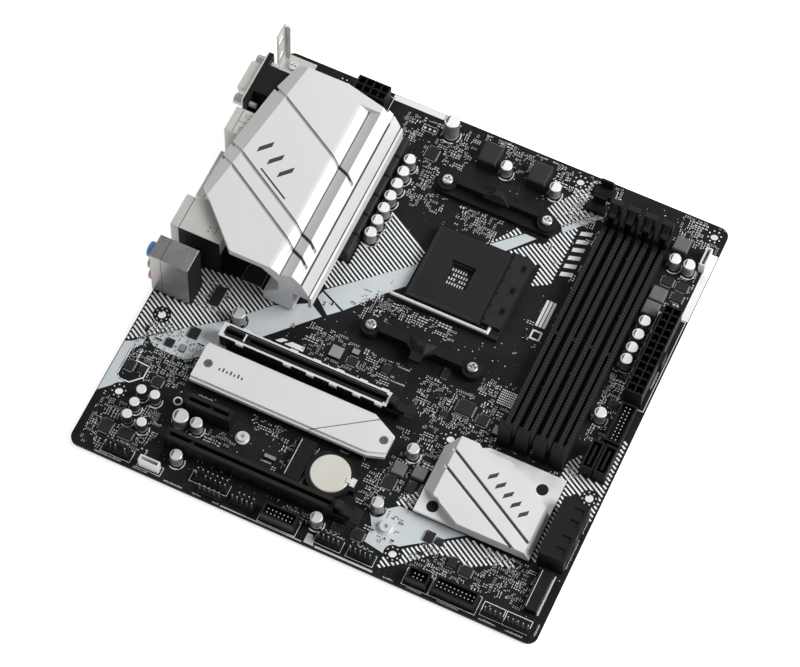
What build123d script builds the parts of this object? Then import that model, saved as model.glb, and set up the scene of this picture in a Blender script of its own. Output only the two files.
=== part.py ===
"""Micro-ATX computer motherboard: bare circuit board with its heatsinks, ports, slots, sockets,
capacitors and headers, each piece a solid of its own.

Lay-out figures below are read from the board's own corner: X runs from the rear port edge to the
memory edge, Y runs from the bottom header edge to the top edge, and heights are above the board's
component face.  Every piece is shifted on export so that the frame's origin sits in the middle of
the datum mounting hole, on the underside of the board, with +Z up.
"""
from build123d import *
from math import atan2, degrees, hypot
import os

os.makedirs("parts", exist_ok=True)

# ---------------------------------------------------------------- driving dimensions (mm)
BOARD_SIDE = 243.84          # micro-ATX side, 9.6 inch
BOARD_T = 1.57               # circuit board thickness
BOARD_CORNER_R = 5.0
HOLE_R = 1.98                # 0.156 inch mounting hole
DATUM = (10.16, 80.01)       # datum mounting hole
MOUNT_HOLES = [DATUM, (10.16, 34.29), (165.10, 13.97), (165.10, 80.01),
               (237.49, 80.01), (237.49, 237.49), (165.10, 237.49), (33.02, 237.49)]

SOCKET_CENTRE = (132.9, 161.2)
COOLER_DX, COOLER_DY = 54.0, 90.0     # cooler hole pattern round the processor socket
COOLER_HOLE_R = 2.1

SLOT_X = 43.0                # rear end of every expansion slot
SLOT_W, SLOT_H = 7.4, 11.2
X16_LEN, X1_LEN = 89.0, 25.0
UPPER_X16_Y, X1_Y, LOWER_X16_Y = 81.0, 40.7, 20.4

DIMM_X, DIMM_PITCH, DIMM_COUNT = 189.1, 9.14, 4
DIMM_W, DIMM_H = 6.6, 7.5
DIMM_Y0, DIMM_Y1 = 87.0, 224.4
DIMM_TOWER_H = 21.0

CLEAR = 0.2                  # gap round every moving piece


# ---------------------------------------------------------------- helpers
STANDING = (Align.CENTER, Align.CENTER, Align.MIN)


def block(x0, y0, x1, y1, z0, z1):
    """Box between two opposite corners, heights above the component face."""
    return Pos(x0, y0, BOARD_T + z0) * Box(x1 - x0, y1 - y0, z1 - z0, align=(Align.MIN,) * 3)


def can(x, y, r, z0, z1):
    """Upright cylinder standing at (x, y)."""
    return Pos(x, y, BOARD_T + z0) * Cylinder(r, z1 - z0, align=STANDING)


def prism(points, z0, z1):
    """Outline in plan, extruded upward."""
    face = make_face(Polyline(*points, close=True))
    return Pos(0, 0, BOARD_T + z0) * extrude(face, amount=z1 - z0)


def rod_x(y, z, r, x0, x1):
    """Round rod lying along X."""
    return Pos(x0, y, BOARD_T + z) * Rot(0, 90, 0) * Cylinder(r, x1 - x0, align=STANDING)


def rod_y(x, z, r, y0, y1):
    """Round rod lying along Y."""
    return Pos(x, y0, BOARD_T + z) * Rot(-90, 0, 0) * Cylinder(r, y1 - y0, align=STANDING)


def section_xz(points, y0, y1):
    """Outline in the X-Z plane, extruded along Y."""
    face = make_face(Polyline(*[(x, y0, BOARD_T + z) for x, z in points], close=True))
    return extrude(face, amount=y1 - y0, dir=(0, 1, 0))


def section_yz(points, x0, x1):
    """Outline in the Y-Z plane, extruded along X."""
    face = make_face(Polyline(*[(x0, y, BOARD_T + z) for y, z in points], close=True))
    return extrude(face, amount=x1 - x0, dir=(1, 0, 0))


def groove(p, q, width, z0, z1):
    """Straight bar in plan from p to q, used to cut a groove."""
    length = hypot(q[0] - p[0], q[1] - p[1])
    turn = degrees(atan2(q[1] - p[1], q[0] - p[0]))
    bar = Box(length, width, z1 - z0, align=(Align.MIN, Align.CENTER, Align.MIN))
    return Pos(p[0], p[1], BOARD_T + z0) * Rot(0, 0, turn) * bar


def save(name, *solids):
    """Shift one piece, or a set of alike pieces, into the frame and write it."""
    moved = [Pos(-DATUM[0], -DATUM[1], 0) * solid for solid in solids]
    shape = moved[0] if len(moved) == 1 else Compound(children=moved)
    shape.label = name
    export_step(shape, f"parts/{name}.step")


# ---------------------------------------------------------------- circuit board
cooler_holes = [(SOCKET_CENTRE[0] + sx * COOLER_DX / 2, SOCKET_CENTRE[1] + sy * COOLER_DY / 2)
                for sy in (-1, 1) for sx in (-1, 1)]
PUSHPINS = [(216.0, 72.7), (172.6, 42.3)]
PUSHPIN_R = 1.5

board = Box(BOARD_SIDE, BOARD_SIDE, BOARD_T, align=(Align.MIN,) * 3)
board = fillet(board.edges().filter_by(Axis.Z), BOARD_CORNER_R)
for hx, hy in MOUNT_HOLES:
    board -= Pos(hx, hy, -1) * Cylinder(HOLE_R, 4, align=STANDING)
for hx, hy in cooler_holes:
    board -= Pos(hx, hy, -1) * Cylinder(COOLER_HOLE_R, 4, align=STANDING)
for hx, hy in PUSHPINS:
    board -= Pos(hx, hy, -1) * Cylinder(PUSHPIN_R, 4, align=STANDING)
save("circuit_board", board)

# ---------------------------------------------------------------- rear ports
FACE_X = -0.6                # plane of the port faces, just past the board's edge
STACK_H = 30.5               # tall port stacks

# wireless antenna bracket: a foot on the board and a folded upright with two holes
ANT_Y0, ANT_Y1, ANT_T = 230.7, 240.0, 1.0
ANT_HOLE_R = 3.2
upright = block(FACE_X, ANT_Y0, FACE_X + ANT_T, ANT_Y1, 0, 31.0)
upright += block(FACE_X, ANT_Y1 - ANT_T, FACE_X + 3.6, ANT_Y1, 0, 29.5)
foot = block(FACE_X, ANT_Y0, 17.0, 241.5, 0, ANT_T)
bracket = upright + foot
for hz in (8.5, 22.5):
    bracket -= rod_x((ANT_Y0 + ANT_Y1 - ANT_T) / 2, hz, ANT_HOLE_R, FACE_X - 1, FACE_X + 2)
ANT_SCREW = (6.4, 235.2)
bracket -= can(*ANT_SCREW, 1.4, -1, 3)
save("antenna_bracket", bracket)
screw = can(*ANT_SCREW, 2.4, ANT_T, ANT_T + 1.5) + can(*ANT_SCREW, 1.4, 0, ANT_T + 1.0)
screw -= block(ANT_SCREW[0] - 1.6, ANT_SCREW[1] - 0.3, ANT_SCREW[0] + 1.6, ANT_SCREW[1] + 0.3,
               ANT_T + 0.9, 4)
screw -= block(ANT_SCREW[0] - 0.3, ANT_SCREW[1] - 1.6, ANT_SCREW[0] + 0.3, ANT_SCREW[1] + 1.6,
               ANT_T + 0.9, 4)
save("antenna_bracket_screw", screw)

# video stack: D-shaped port above, flat digital port below, black housing
VID_Y0, VID_Y1 = 190.8, 221.6
VID_MID = (VID_Y0 + VID_Y1) / 2
FLANGE_T = 2.4
VGA_Z = 24.0                 # centre height of the D-shaped port
JACK_DY = 12.5               # jackscrews stand this far each side of the port's middle
HDMI_Z = 8.0
housing = block(FACE_X + 0.8, VID_Y0, FACE_X + FLANGE_T + 0.8, VID_Y1, 0, STACK_H)
housing += block(FACE_X + FLANGE_T + 0.8, VID_MID - 8.4, 17.0, VID_MID + 8.4, 0, STACK_H)
housing -= block(FACE_X + 0.5, VID_MID - 7.5, 12.0, VID_MID + 7.5, HDMI_Z - 2.8, HDMI_Z + 2.8)
for side in (-1, 1):
    housing -= rod_x(VID_MID + side * JACK_DY, VGA_Z, 1.6, FACE_X, FACE_X + 8)
housing -= block(FACE_X, VID_MID - 8.0, FACE_X + 2.0, VID_MID + 8.0, VGA_Z - 4.0, VGA_Z + 4.0)
save("video_port_housing", housing)


def d_outline(half_w, half_h, slope):
    """D-shaped port outline in Y-Z, wider at the top."""
    return [(VID_MID - half_w, VGA_Z + half_h), (VID_MID + half_w, VGA_Z + half_h),
            (VID_MID + half_w - slope, VGA_Z - half_h), (VID_MID - half_w + slope, VGA_Z - half_h)]


shell = section_yz([(VID_Y0, 17.8), (VID_Y1, 17.8), (VID_Y1, STACK_H), (VID_Y0, STACK_H)],
                   FACE_X, FACE_X + 0.8)
shell += section_yz(d_outline(8.5, 4.15, 1.4), FACE_X - 5.8, FACE_X)
shell -= section_yz(d_outline(8.0, 3.65, 1.3), FACE_X - 6, FACE_X + 2)
for side in (-1, 1):
    shell -= rod_x(VID_MID + side * JACK_DY, VGA_Z, 1.7, FACE_X - 1, FACE_X + 2)
save("video_port_shell", shell)

insert = section_yz(d_outline(7.9, 3.55, 1.3), FACE_X - 4.6, FACE_X + 1.8)
for row in range(3):
    for col in range(5):
        pin_y = VID_MID + (col - 2) * 2.3 + (row - 1) * 0.55
        insert -= rod_x(pin_y, VGA_Z + (row - 1) * 2.0, 0.5, FACE_X - 5, FACE_X + 1.0)
save("video_port_insert", insert)

jacks = []
for side in (-1, 1):
    jy = VID_MID + side * JACK_DY
    hexagon = extrude(RegularPolygon(radius=2.75, side_count=6), amount=5.0)
    jack = Pos(FACE_X - 5.0, jy, BOARD_T + VGA_Z) * Rot(0, 90, 0) * hexagon
    jack += rod_x(jy, VGA_Z, 1.5, FACE_X, FACE_X + 7)
    jack -= rod_x(jy, VGA_Z, 1.25, FACE_X - 6, FACE_X + 1)
    jacks.append(jack)
save("video_port_jackscrews", *jacks)


# square metal port shells with rows of openings; the plastic tongues are pieces of their own
def port_shell(y0, y1, depth, height, openings):
    """Sheet box with a front opening for every (z0, z1) pair."""
    wall = 0.4
    box = block(FACE_X, y0, depth, y1, 0, height)
    for z0, z1 in openings:
        box -= block(FACE_X - 1, y0 + wall + 0.3, depth - 4, y1 - wall - 0.3, z0, z1)
    return box


USB_W, USB_DEPTH = 13.8, 17.0
USB_Y = (139.4, 153.9)
USB_OPEN = ((1.4, 6.6), (8.9, 14.1))
TALL_Y0, TALL_Y1 = 171.6, 186.2
TALL_OPEN = ((1.4, 6.6), (9.6, 14.8), (18.6, 22.0), (24.2, 29.4))
port_shells = [port_shell(y, y + USB_W, USB_DEPTH, 15.6, USB_OPEN) for y in USB_Y]
port_shells.append(port_shell(TALL_Y0, TALL_Y1, 17.0, STACK_H, TALL_OPEN))
save("data_port_shells", *port_shells)


def tongues(y0, y1, depth, openings):
    """One flat contact tongue per opening, fixed to the back of the shell."""
    mid = (y0 + y1) / 2
    return [block(FACE_X + 2.0, mid - 4.8, depth - 4, mid + 4.8, (a + b) / 2, (a + b) / 2 + 1.6)
            for a, b in openings]


port_tongues = tongues(TALL_Y0, TALL_Y1, 17.0, TALL_OPEN)
for y in USB_Y:
    port_tongues += tongues(y, y + USB_W, USB_DEPTH, USB_OPEN)
port_tongues.append(block(FACE_X + 2.0, VID_MID - 5.6, 12.0, VID_MID + 5.6, HDMI_Z - 0.5, HDMI_Z + 0.6))
save("data_port_tongues", *port_tongues)

# network jack above two flat ports
LAN_Y0, LAN_Y1, LAN_DEPTH, LAN_H = 112.7, 131.2, 26.4, 30.0
LAN_MID = (LAN_Y0 + LAN_Y1) / 2
lan_front = 4.4              # the metal frame covers this much of the black body
LAN_MOUTH = (15.9, 28.2)
lan = block(FACE_X, LAN_Y0, FACE_X + lan_front, LAN_Y1, 0, LAN_H)
lan += block(FACE_X, LAN_Y0, LAN_DEPTH, LAN_Y1, LAN_H - 0.4, LAN_H)
lan += block(LAN_DEPTH - 0.4, LAN_Y0, LAN_DEPTH, LAN_Y1, 20.0, LAN_H)
lan -= block(FACE_X - 1, LAN_MID - 6.0, FACE_X + 6, LAN_MID + 6.0, *LAN_MOUTH)
for z0, z1 in USB_OPEN:
    lan -= block(FACE_X - 1, LAN_MID - 6.4, FACE_X + 6, LAN_MID + 6.4, z0, z1)
save("network_port_shell", lan)
lan_body = block(FACE_X + lan_front, LAN_Y0 + 0.3, LAN_DEPTH - 0.4, LAN_Y1 - 0.3, 0, LAN_H - 0.4)
lan_body -= block(FACE_X, LAN_MID - 5.9, 12.5, LAN_MID + 5.9, LAN_MOUTH[0] + 0.1, LAN_MOUTH[1] - 0.1)
for z0, z1 in USB_OPEN:
    lan_body -= block(FACE_X, LAN_MID - 6.3, 13.0, LAN_MID + 6.3, z0 + 0.05, z1 - 0.05)
    lan_body += block(FACE_X + 2.0, LAN_MID - 4.8, 13.2, LAN_MID + 4.8, (z0 + z1) / 2, (z0 + z1) / 2 + 1.6)
save("network_port_body", lan_body)

# three audio jacks one above the other
AUD_Y0, AUD_Y1, AUD_DEPTH, AUD_H = 90.5, 103.3, 20.8, 34.6
AUD_MID = (AUD_Y0 + AUD_Y1) / 2
AUD_SHELL_X = 12.4           # metal covers the front part of the sides, black plastic shows behind
JACK_Z = (6.0, 17.3, 28.6)
JACK_BORE_R, JACK_BARREL_R, JACK_BORE_DEPTH = 1.8, 4.0, 14.0
aud_body = block(FACE_X + 0.5, AUD_Y0 + 0.4, AUD_DEPTH, AUD_Y1 - 0.4, 0, AUD_H - 0.4)
aud_shell = block(FACE_X, AUD_Y0, AUD_DEPTH - 0.8, AUD_Y1, 0.4, AUD_H)
aud_shell -= block(FACE_X + 0.5, AUD_Y0 + 0.4, AUD_DEPTH + 1, AUD_Y1 - 0.4, -1, AUD_H - 0.4)
for jz in JACK_Z:
    aud_shell -= rod_x(AUD_MID, jz, JACK_BARREL_R, FACE_X - 1, FACE_X + 1)
    aud_body -= rod_x(AUD_MID, jz, JACK_BORE_R, FACE_X - 1, FACE_X - 3.4 + JACK_BORE_DEPTH)
save("audio_jack_shell", aud_shell)
save("audio_jack_body", aud_body)
for jz, colour in zip(JACK_Z, ("pink", "green", "blue")):
    ring = rod_x(AUD_MID, jz, JACK_BARREL_R, FACE_X - 3.4, FACE_X + 0.5)
    ring -= rod_x(AUD_MID, jz, JACK_BORE_R, FACE_X - 4, FACE_X + 1)
    outer_rim = ring.edges().filter_by(GeomType.CIRCLE).group_by(Axis.X)[0].sort_by(SortBy.RADIUS)[-1]
    ring = chamfer(outer_rim, 0.6)
    save(f"audio_ring_{colour}", ring)

# ---------------------------------------------------------------- power stage heatsink
HS_Y0, HS_Y1 = 109.1, 218.8
HS_TOP = 36.0
CHIP_TOP = 1.4
# upper surface from the flat top, down a rolled edge into a valley and up to the ridge
ROLL = [(54.2, HS_TOP), (55.7, 35.7), (57.1, 35.0), (58.3, 34.1), (59.4, 33.1), (60.4, 32.2)]
RIDGE = (66.6, HS_TOP)
# right of the ridge: a sloping band and a narrow lip, each behind a thin groove
BANDS = [(76.9, 21.0), (75.9, 21.4), (75.5, 20.6), (75.0, 21.2), (75.5, 22.4), (72.1, 30.0), (71.3, 29.7),
         (70.9, 30.4), (71.4, 31.4)]
fin_section = [(4.0, 32.3), (50.5, 32.0), (59.3, 24.5), (59.3, 17.0), (51.0, 8.6), (51.0, 3.0),
               (53.0, CHIP_TOP), (67.0, CHIP_TOP), (67.0, 19.4), (75.2, 18.6), (75.2, 12.0),
               (76.9, 12.0), *BANDS, RIDGE, (61.0, 33.4), *reversed(ROLL), (4.0, HS_TOP)]
plan = [(9.6, 132.6), (33.3, HS_Y0), (78.0, HS_Y0), (78.0, 215.0), (69.0, 215.0), (68.9, 213.3),
        (45.0, HS_Y1), (17.6, HS_Y1), (6.8, 186.1), (5.9, 178.0), (5.9, 136.5)]
heatsink = section_xz(fin_section, HS_Y0 - 1, HS_Y1 + 1) & prism(plan, 0, 40)
# the valley is closed off at its upper end
VALLEY_END = 210.4
closing = [(54.2, 30.0), (71.4, 30.0), (71.4, 31.4), RIDGE, (54.2, HS_TOP)]
heatsink += section_xz(closing, VALLEY_END, HS_Y1 + 1) & prism(plan, 0, 40)
# sloping facet along the port side
facet_run, facet_drop = 12.0, 5.4
facet_a, facet_b = (10.0, 132.1), (23.1, 218.8)
along = Vector(facet_b[0] - facet_a[0], facet_b[1] - facet_a[1], 0).normalized()
across = Vector(-along.Y, along.X, 0)
start = Vector(facet_a[0], facet_a[1], BOARD_T + HS_TOP) - along * 30
wedge_face = make_face(Polyline(start, start + across * facet_run * 2 - Vector(0, 0, facet_drop * 2),
                                start + across * facet_run * 2 + Vector(0, 0, 3),
                                start + Vector(0, 0, 3), close=True))
wedge = extrude(wedge_face, amount=160, dir=along)
heatsink -= wedge
# decorative grooves run over the facet, the top, the valley and the ridge at one depth
HS_GROOVES = [((2.0, 209.1), (73.0, 167.8)), ((2.0, 168.3), (73.0, 126.1)), ((2.0, 159.1), (73.0, 116.3))]
GROOVE_W, GROOVE_DEPTH = 1.7, 1.0
surface = [(4.0, HS_TOP), *ROLL, (61.0, 33.4), RIDGE, (70.4, 32.3)]
skin = section_xz([(x, z - GROOVE_DEPTH) for x, z in surface] + [(70.4, 40.0), (4.0, 40.0)], HS_Y0, HS_Y1)
for p, q in HS_GROOVES:
    bar = groove(p, q, GROOVE_W, 20.0, 39.0)
    heatsink -= bar & skin
    heatsink -= bar & (Pos(0, 0, -GROOVE_DEPTH) * wedge)
save("power_heatsink", heatsink)

# power transistors under the heatsink's foot
mosfets = [block(x, y, x + 5.0, y + 6.0, 0, CHIP_TOP - 0.02)
           for x in (52.6, 60.4) for y in [113.0 + 11.6 * k for k in range(9)]]
save("power_transistors", *mosfets)

# ---------------------------------------------------------------- chokes and capacitors
CHOKE_X, CHOKE_Y, CHOKE_H = 10.0, 12.0, 8.5


def choke(cx, cy, dx, dy, height, bevel):
    body = block(cx - dx / 2, cy - dy / 2, cx + dx / 2, cy + dy / 2, 0, height)
    return chamfer(body.edges().group_by(Axis.Z)[-1], bevel)


chokes = [choke(74.6, 151.3 + 12.25 * k, CHOKE_X, CHOKE_Y, CHOKE_H, 0.7) for k in range(6)]
chokes += [choke(x, 228.8, CHOKE_X, CHOKE_Y, CHOKE_H, 0.7) for x in (119.2, 146.0)]
save("processor_chokes", *chokes)

flat = [(225.0, 224.7), (225.0, 194.0), (224.8, 185.3)]
small_flat = [(149.8, 54.1), (159.5, 56.3)]
flat_chokes = [choke(x, y, 7.9, 7.9, 4.0, 0.5) for x, y in flat]
flat_chokes += [choke(x, y, 6.6, 6.4, 3.0, 0.4) for x, y in small_flat]
save("memory_chokes", *flat_chokes)


def capacitor(x, y, r, height):
    """Aluminium can capacitor with a rounded rim and a crimp groove near its foot."""
    body = can(x, y, r, 0, height)
    body = fillet(body.edges().filter_by(GeomType.CIRCLE).sort_by(Axis.Z)[-1], 0.5)
    crimp = can(x, y, r + 1, 1.2, 1.8) - can(x, y, r - 0.25, 1.2, 1.8)
    return body - crimp


CAP_R, CAP_H = 3.1, 8.2
cap_column = [(84.2, 162.0 + 7.67 * k) for k in range(7)]
cap_places = cap_column + [(129.3, 225.6), (156.2, 225.0), (225.5, 213.3), (233.0, 213.3),
                           (225.3, 175.2), (225.3, 167.1), (225.3, 159.2), (225.3, 152.3), (225.4, 120.4),
                           (53.3, 31.8), (52.2, 12.6), (126.2, 12.2), (152.4, 64.2), (148.9, 31.6)]
save("polymer_capacitors", *[capacitor(x, y, CAP_R, CAP_H) for x, y in cap_places])
audio_caps = [(21.6, 36.4), (28.7, 36.6), (21.6, 29.0), (21.2, 21.9), (29.5, 21.0)]
save("audio_capacitors", *[capacitor(x, y, 2.6, 8.0) for x, y in audio_caps])
large_caps = [(95.3, 234.2, 4.0, 13.5), (45.0, 31.6, 4.0, 8.6), (45.6, 93.2, 3.4, 8.6)]
save("large_capacitors", *[capacitor(*c) for c in large_caps])


# ---------------------------------------------------------------- power connectors
def power_connector(x0, y0, cols, rows, height, pitch=4.2, wall=0.9):
    """Block of square sockets open at the top; cols run along X."""
    dx, dy = cols * pitch + wall, rows * pitch + wall
    body = block(x0, y0, x0 + dx, y0 + dy, 0, height)
    for i in range(cols):
        for j in range(rows):
            cx = x0 + wall / 2 + pitch * (i + 0.5)
            cy = y0 + wall / 2 + pitch * (j + 0.5)
            body -= block(cx - 1.75, cy - 1.75, cx + 1.75, cy + 1.75, 2.5, height + 1)
    return body


ATX_X0, ATX_Y0 = 231.4, 134.4
atx = power_connector(ATX_X0, ATX_Y0, 2, 12, 13.0)
atx += block(ATX_X0 + 9.3, ATX_Y0 + 22.0, ATX_X0 + 10.9, ATX_Y0 + 28.0, 0, 10.5)
save("main_power_connector", atx)
EPS_X0, EPS_Y0 = 41.8, 230.0
eps = power_connector(EPS_X0, EPS_Y0, 4, 2, 13.0)
eps += block(EPS_X0 + 6.8, EPS_Y0 - 1.6, EPS_X0 + 11.2, EPS_Y0, 0, 10.5)
save("processor_power_connector", eps)
power_pins = []
for x0, y0, cols, rows in ((ATX_X0, ATX_Y0, 2, 12), (EPS_X0, EPS_Y0, 4, 2)):
    for i in range(cols):
        for j in range(rows):
            cx, cy = x0 + 0.45 + 4.2 * (i + 0.5), y0 + 0.45 + 4.2 * (j + 0.5)
            power_pins.append(block(cx - 0.55, cy - 0.55, cx + 0.55, cy + 0.55, 2.5, 10.0))

# ---------------------------------------------------------------- memory slots and latches
dimm_xs = [DIMM_X + DIMM_PITCH * k for k in range(DIMM_COUNT)]
LATCH_W = 3.2
LATCH_PIVOT_Y, LATCH_PIVOT_Z = 220.6, 3.6
LATCH_GAP = LATCH_W / 2 + CLEAR
CHEEK_Y0 = 215.6             # the two walls that hold a latch start here
slots = []
for cx in dimm_xs:
    a, b = cx - DIMM_W / 2, cx + DIMM_W / 2
    slot = block(a, DIMM_Y0 + 1, b, CHEEK_Y0, 0, DIMM_H)
    slot += block(a, DIMM_Y0, b, DIMM_Y0 + 3.6, 0, DIMM_TOWER_H)
    slot += block(a, CHEEK_Y0, b, DIMM_Y1 - 1.0, 0, 13.0)
    slot -= block(cx - 0.8, DIMM_Y0 + 2.0, cx + 0.8, CHEEK_Y0 + 0.1, 2.4, 30)
    slot += block(cx - 0.8, 150.0, cx + 0.8, 152.2, 2.4, DIMM_H - 0.5)
    slot -= block(cx - LATCH_GAP, CHEEK_Y0, cx + LATCH_GAP, DIMM_Y1 + 1, 0.6, 30)
    slots.append(slot)
save("memory_slots", *slots)

latch_side = [(217.4, 1.6), (222.2, 1.6), (223.6, 4.0), (223.6, 12.6), (225.6, 15.0), (225.6, 17.0),
              (224.4, DIMM_TOWER_H), (221.6, DIMM_TOWER_H), (219.0, 16.2), (217.0, 15.4), (217.0, 13.4),
              (219.6, 12.4), (219.6, 6.6), (217.4, 3.4)]
for k, cx in enumerate(dimm_xs):
    latch = section_yz(latch_side, cx - LATCH_W / 2, cx + LATCH_W / 2)
    latch += section_yz([(221.0, 15.0), (225.6, 15.0), (225.6, 17.0), (224.4, DIMM_TOWER_H),
                         (221.6, DIMM_TOWER_H), (221.0, 18.0)], cx - 3.0, cx + 3.0)
    save(f"memory_latch_{k + 1}", latch)


# ---------------------------------------------------------------- expansion slots
def expansion_slot(length, cy, key):
    body = block(SLOT_X, cy - SLOT_W / 2 + 0.5, SLOT_X + length, cy + SLOT_W / 2 - 0.5, 0, SLOT_H - 0.2)
    body -= block(SLOT_X + 2.0, cy - 0.9, SLOT_X + length - 2.0, cy + 0.9, 2.6, SLOT_H + 1)
    body += block(SLOT_X + key, cy - 0.9, SLOT_X + key + 1.8, cy + 0.9, 2.6, SLOT_H - 1.0)
    for side in (-1, 1):
        for k in range(int(length // 6)):
            x = SLOT_X + 3.0 + 6.0 * k
            body += block(x, cy + side * (SLOT_W / 2 - 0.25) - 0.25, x + 2.6,
                          cy + side * (SLOT_W / 2 - 0.25) + 0.25, 0, SLOT_H - 2.0)
    return body


LATCH_X = SLOT_X + X16_LEN
PCIE_PIVOT_X, PCIE_PIVOT_Z = LATCH_X + 4.2, 2.8


def slot_cheeks(cy):
    """Two walls past the slot's end that hold the card latch."""
    cheeks = block(LATCH_X, cy - 3.2, LATCH_X + 7.0, cy + 3.2, 0, 0.8)
    for mid in (cy - 2.75, cy + 2.75):
        cheeks += block(LATCH_X, mid - 0.45, LATCH_X + 6.0, mid + 0.45, 0, 7.0)
    return cheeks


save("graphics_slot_upper", expansion_slot(X16_LEN, UPPER_X16_Y, 13.0) + slot_cheeks(UPPER_X16_Y))
save("graphics_slot_lower", expansion_slot(X16_LEN, LOWER_X16_Y, 13.0) + slot_cheeks(LOWER_X16_Y))
save("expansion_slot_small", expansion_slot(X1_LEN, X1_Y, 13.0))

# steel frame lying on the upper slot's rim, with short clips down its sides
frame_z0, frame_z1 = SLOT_H - 0.2, SLOT_H + 0.3
FRAME_HALF = SLOT_W / 2 + 0.3
CLIP_X, CLIP_LEN, CLIP_FOOT = (9.0, 34.5, 46.8, 59.0, 71.5, 83.0), 4.0, 9.4
steel = block(SLOT_X - 0.6, UPPER_X16_Y - FRAME_HALF, SLOT_X + X16_LEN, UPPER_X16_Y + FRAME_HALF,
              frame_z0, frame_z1)
steel -= block(SLOT_X + 1.4, UPPER_X16_Y - 2.1, SLOT_X + 11.8, UPPER_X16_Y + 2.1, 10, 13)
steel -= block(SLOT_X + 12.6, UPPER_X16_Y - 2.1, SLOT_X + X16_LEN - 1.2, UPPER_X16_Y + 2.1, 10, 13)
for clip in CLIP_X:
    for y0 in (UPPER_X16_Y - FRAME_HALF - 0.6, UPPER_X16_Y + FRAME_HALF):
        steel += block(SLOT_X + clip, y0, SLOT_X + clip + CLIP_LEN, y0 + 0.6, CLIP_FOOT, frame_z1)
steel += block(SLOT_X - 0.6, UPPER_X16_Y - FRAME_HALF, SLOT_X - 0.1, UPPER_X16_Y + FRAME_HALF, 1.0, frame_z1)
save("graphics_slot_steel_frame", steel)


def card_latch(cy):
    """Rocking latch: an upright hook at the slot's end and a thumb tab reaching outward."""
    side = [(LATCH_X + 2.8, 1.4), (LATCH_X + 5.4, 1.4), (LATCH_X + 6.2, 5.6), (LATCH_X + 13.0, 7.6),
            (LATCH_X + 13.4, 9.6), (LATCH_X + 5.6, 9.2), (LATCH_X + 3.6, 14.6), (LATCH_X + 0.4, 15.0),
            (LATCH_X + 0.4, 12.4), (LATCH_X + 2.8, 12.0)]
    lever_face = make_face(Polyline(*[(x, cy - 2.05, BOARD_T + z) for x, z in side], close=True))
    arm = extrude(lever_face, amount=4.1, dir=(0, 1, 0))
    return arm + block(LATCH_X + 9.0, cy - 4.0, LATCH_X + 13.2, cy + 4.0, 7.4, 9.2)


save("card_latch_upper", card_latch(UPPER_X16_Y))
save("card_latch_lower", card_latch(LOWER_X16_Y))

# ---------------------------------------------------------------- processor socket
SOCK_X0, SOCK_X1 = 112.4, 163.8
SOCK_Y0, SOCK_Y1 = 136.5, 182.4
COVER_X0, COVER_X1, COVER_Y0 = 113.3, 153.1, 139.7
BASE_TOP, COVER_TOP, CAM_TOP = 2.6, 5.0, 6.0
LEVER_X, LEVER_Y, LEVER_Z, LEVER_R = 158.1, 137.8, 3.5, 0.9
WINDOW = (127.4, 154.6, 138.4, 166.4)

base = block(SOCK_X0, COVER_Y0, SOCK_X1, SOCK_Y1, 0, BASE_TOP)
base += block(SOCK_X0, SOCK_Y0, SOCK_X1, COVER_Y0, 0, 2.0)
base += block(SOCK_X0, SOCK_Y0, SOCK_X1, SOCK_Y0 + 0.5, 0, 3.0)
cam_plan = [(COVER_X1 + 0.2, COVER_Y0 + 1.4), (SOCK_X1 - 0.4, COVER_Y0 + 1.4),
            (SOCK_X1 - 0.4, SOCK_Y1 - 2.0), (SOCK_X1 - 3.6, SOCK_Y1 + 0.8), (COVER_X1 + 0.2, SOCK_Y1 + 0.8)]
cam_box = prism(cam_plan, 0, CAM_TOP)
for slot_y in (149.0, 161.6, 175.0):
    cam_box -= block(159.6, slot_y, 161.2, slot_y + 3.0, 4.9, CAM_TOP + 1)
base += cam_box
base -= block(*WINDOW, 0.6, 10)
base -= rod_y(LEVER_X, LEVER_Z, LEVER_R + 0.1, COVER_Y0 - 1, SOCK_Y1 - 1.5)
save("processor_socket_base", base)

cover = block(COVER_X0, COVER_Y0, COVER_X1, SOCK_Y1 - 0.4, BASE_TOP + 0.05, COVER_TOP)
cover -= block(WINDOW[0] - 0.9, WINDOW[1] - 0.9, WINDOW[2] + 0.9, WINDOW[3] + 0.9, 0, 10)
cover -= block(COVER_X0 + 1.6, COVER_Y0 + 2.2, COVER_X1 - 0.4, SOCK_Y1 - 1.6, COVER_TOP - 0.25, 10)
save("processor_socket_cover", cover)

HANDLE_X = 106.6
lever = rod_x(LEVER_Y, LEVER_Z, LEVER_R, HANDLE_X, LEVER_X)
lever += rod_y(LEVER_X, LEVER_Z, LEVER_R, LEVER_Y, SOCK_Y1 - 2.0)
lever += Pos(LEVER_X, LEVER_Y, BOARD_T + LEVER_Z) * Sphere(LEVER_R)
lever += Pos(HANDLE_X, LEVER_Y, BOARD_T + LEVER_Z) * Sphere(LEVER_R)
save("processor_socket_lever", lever)

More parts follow.
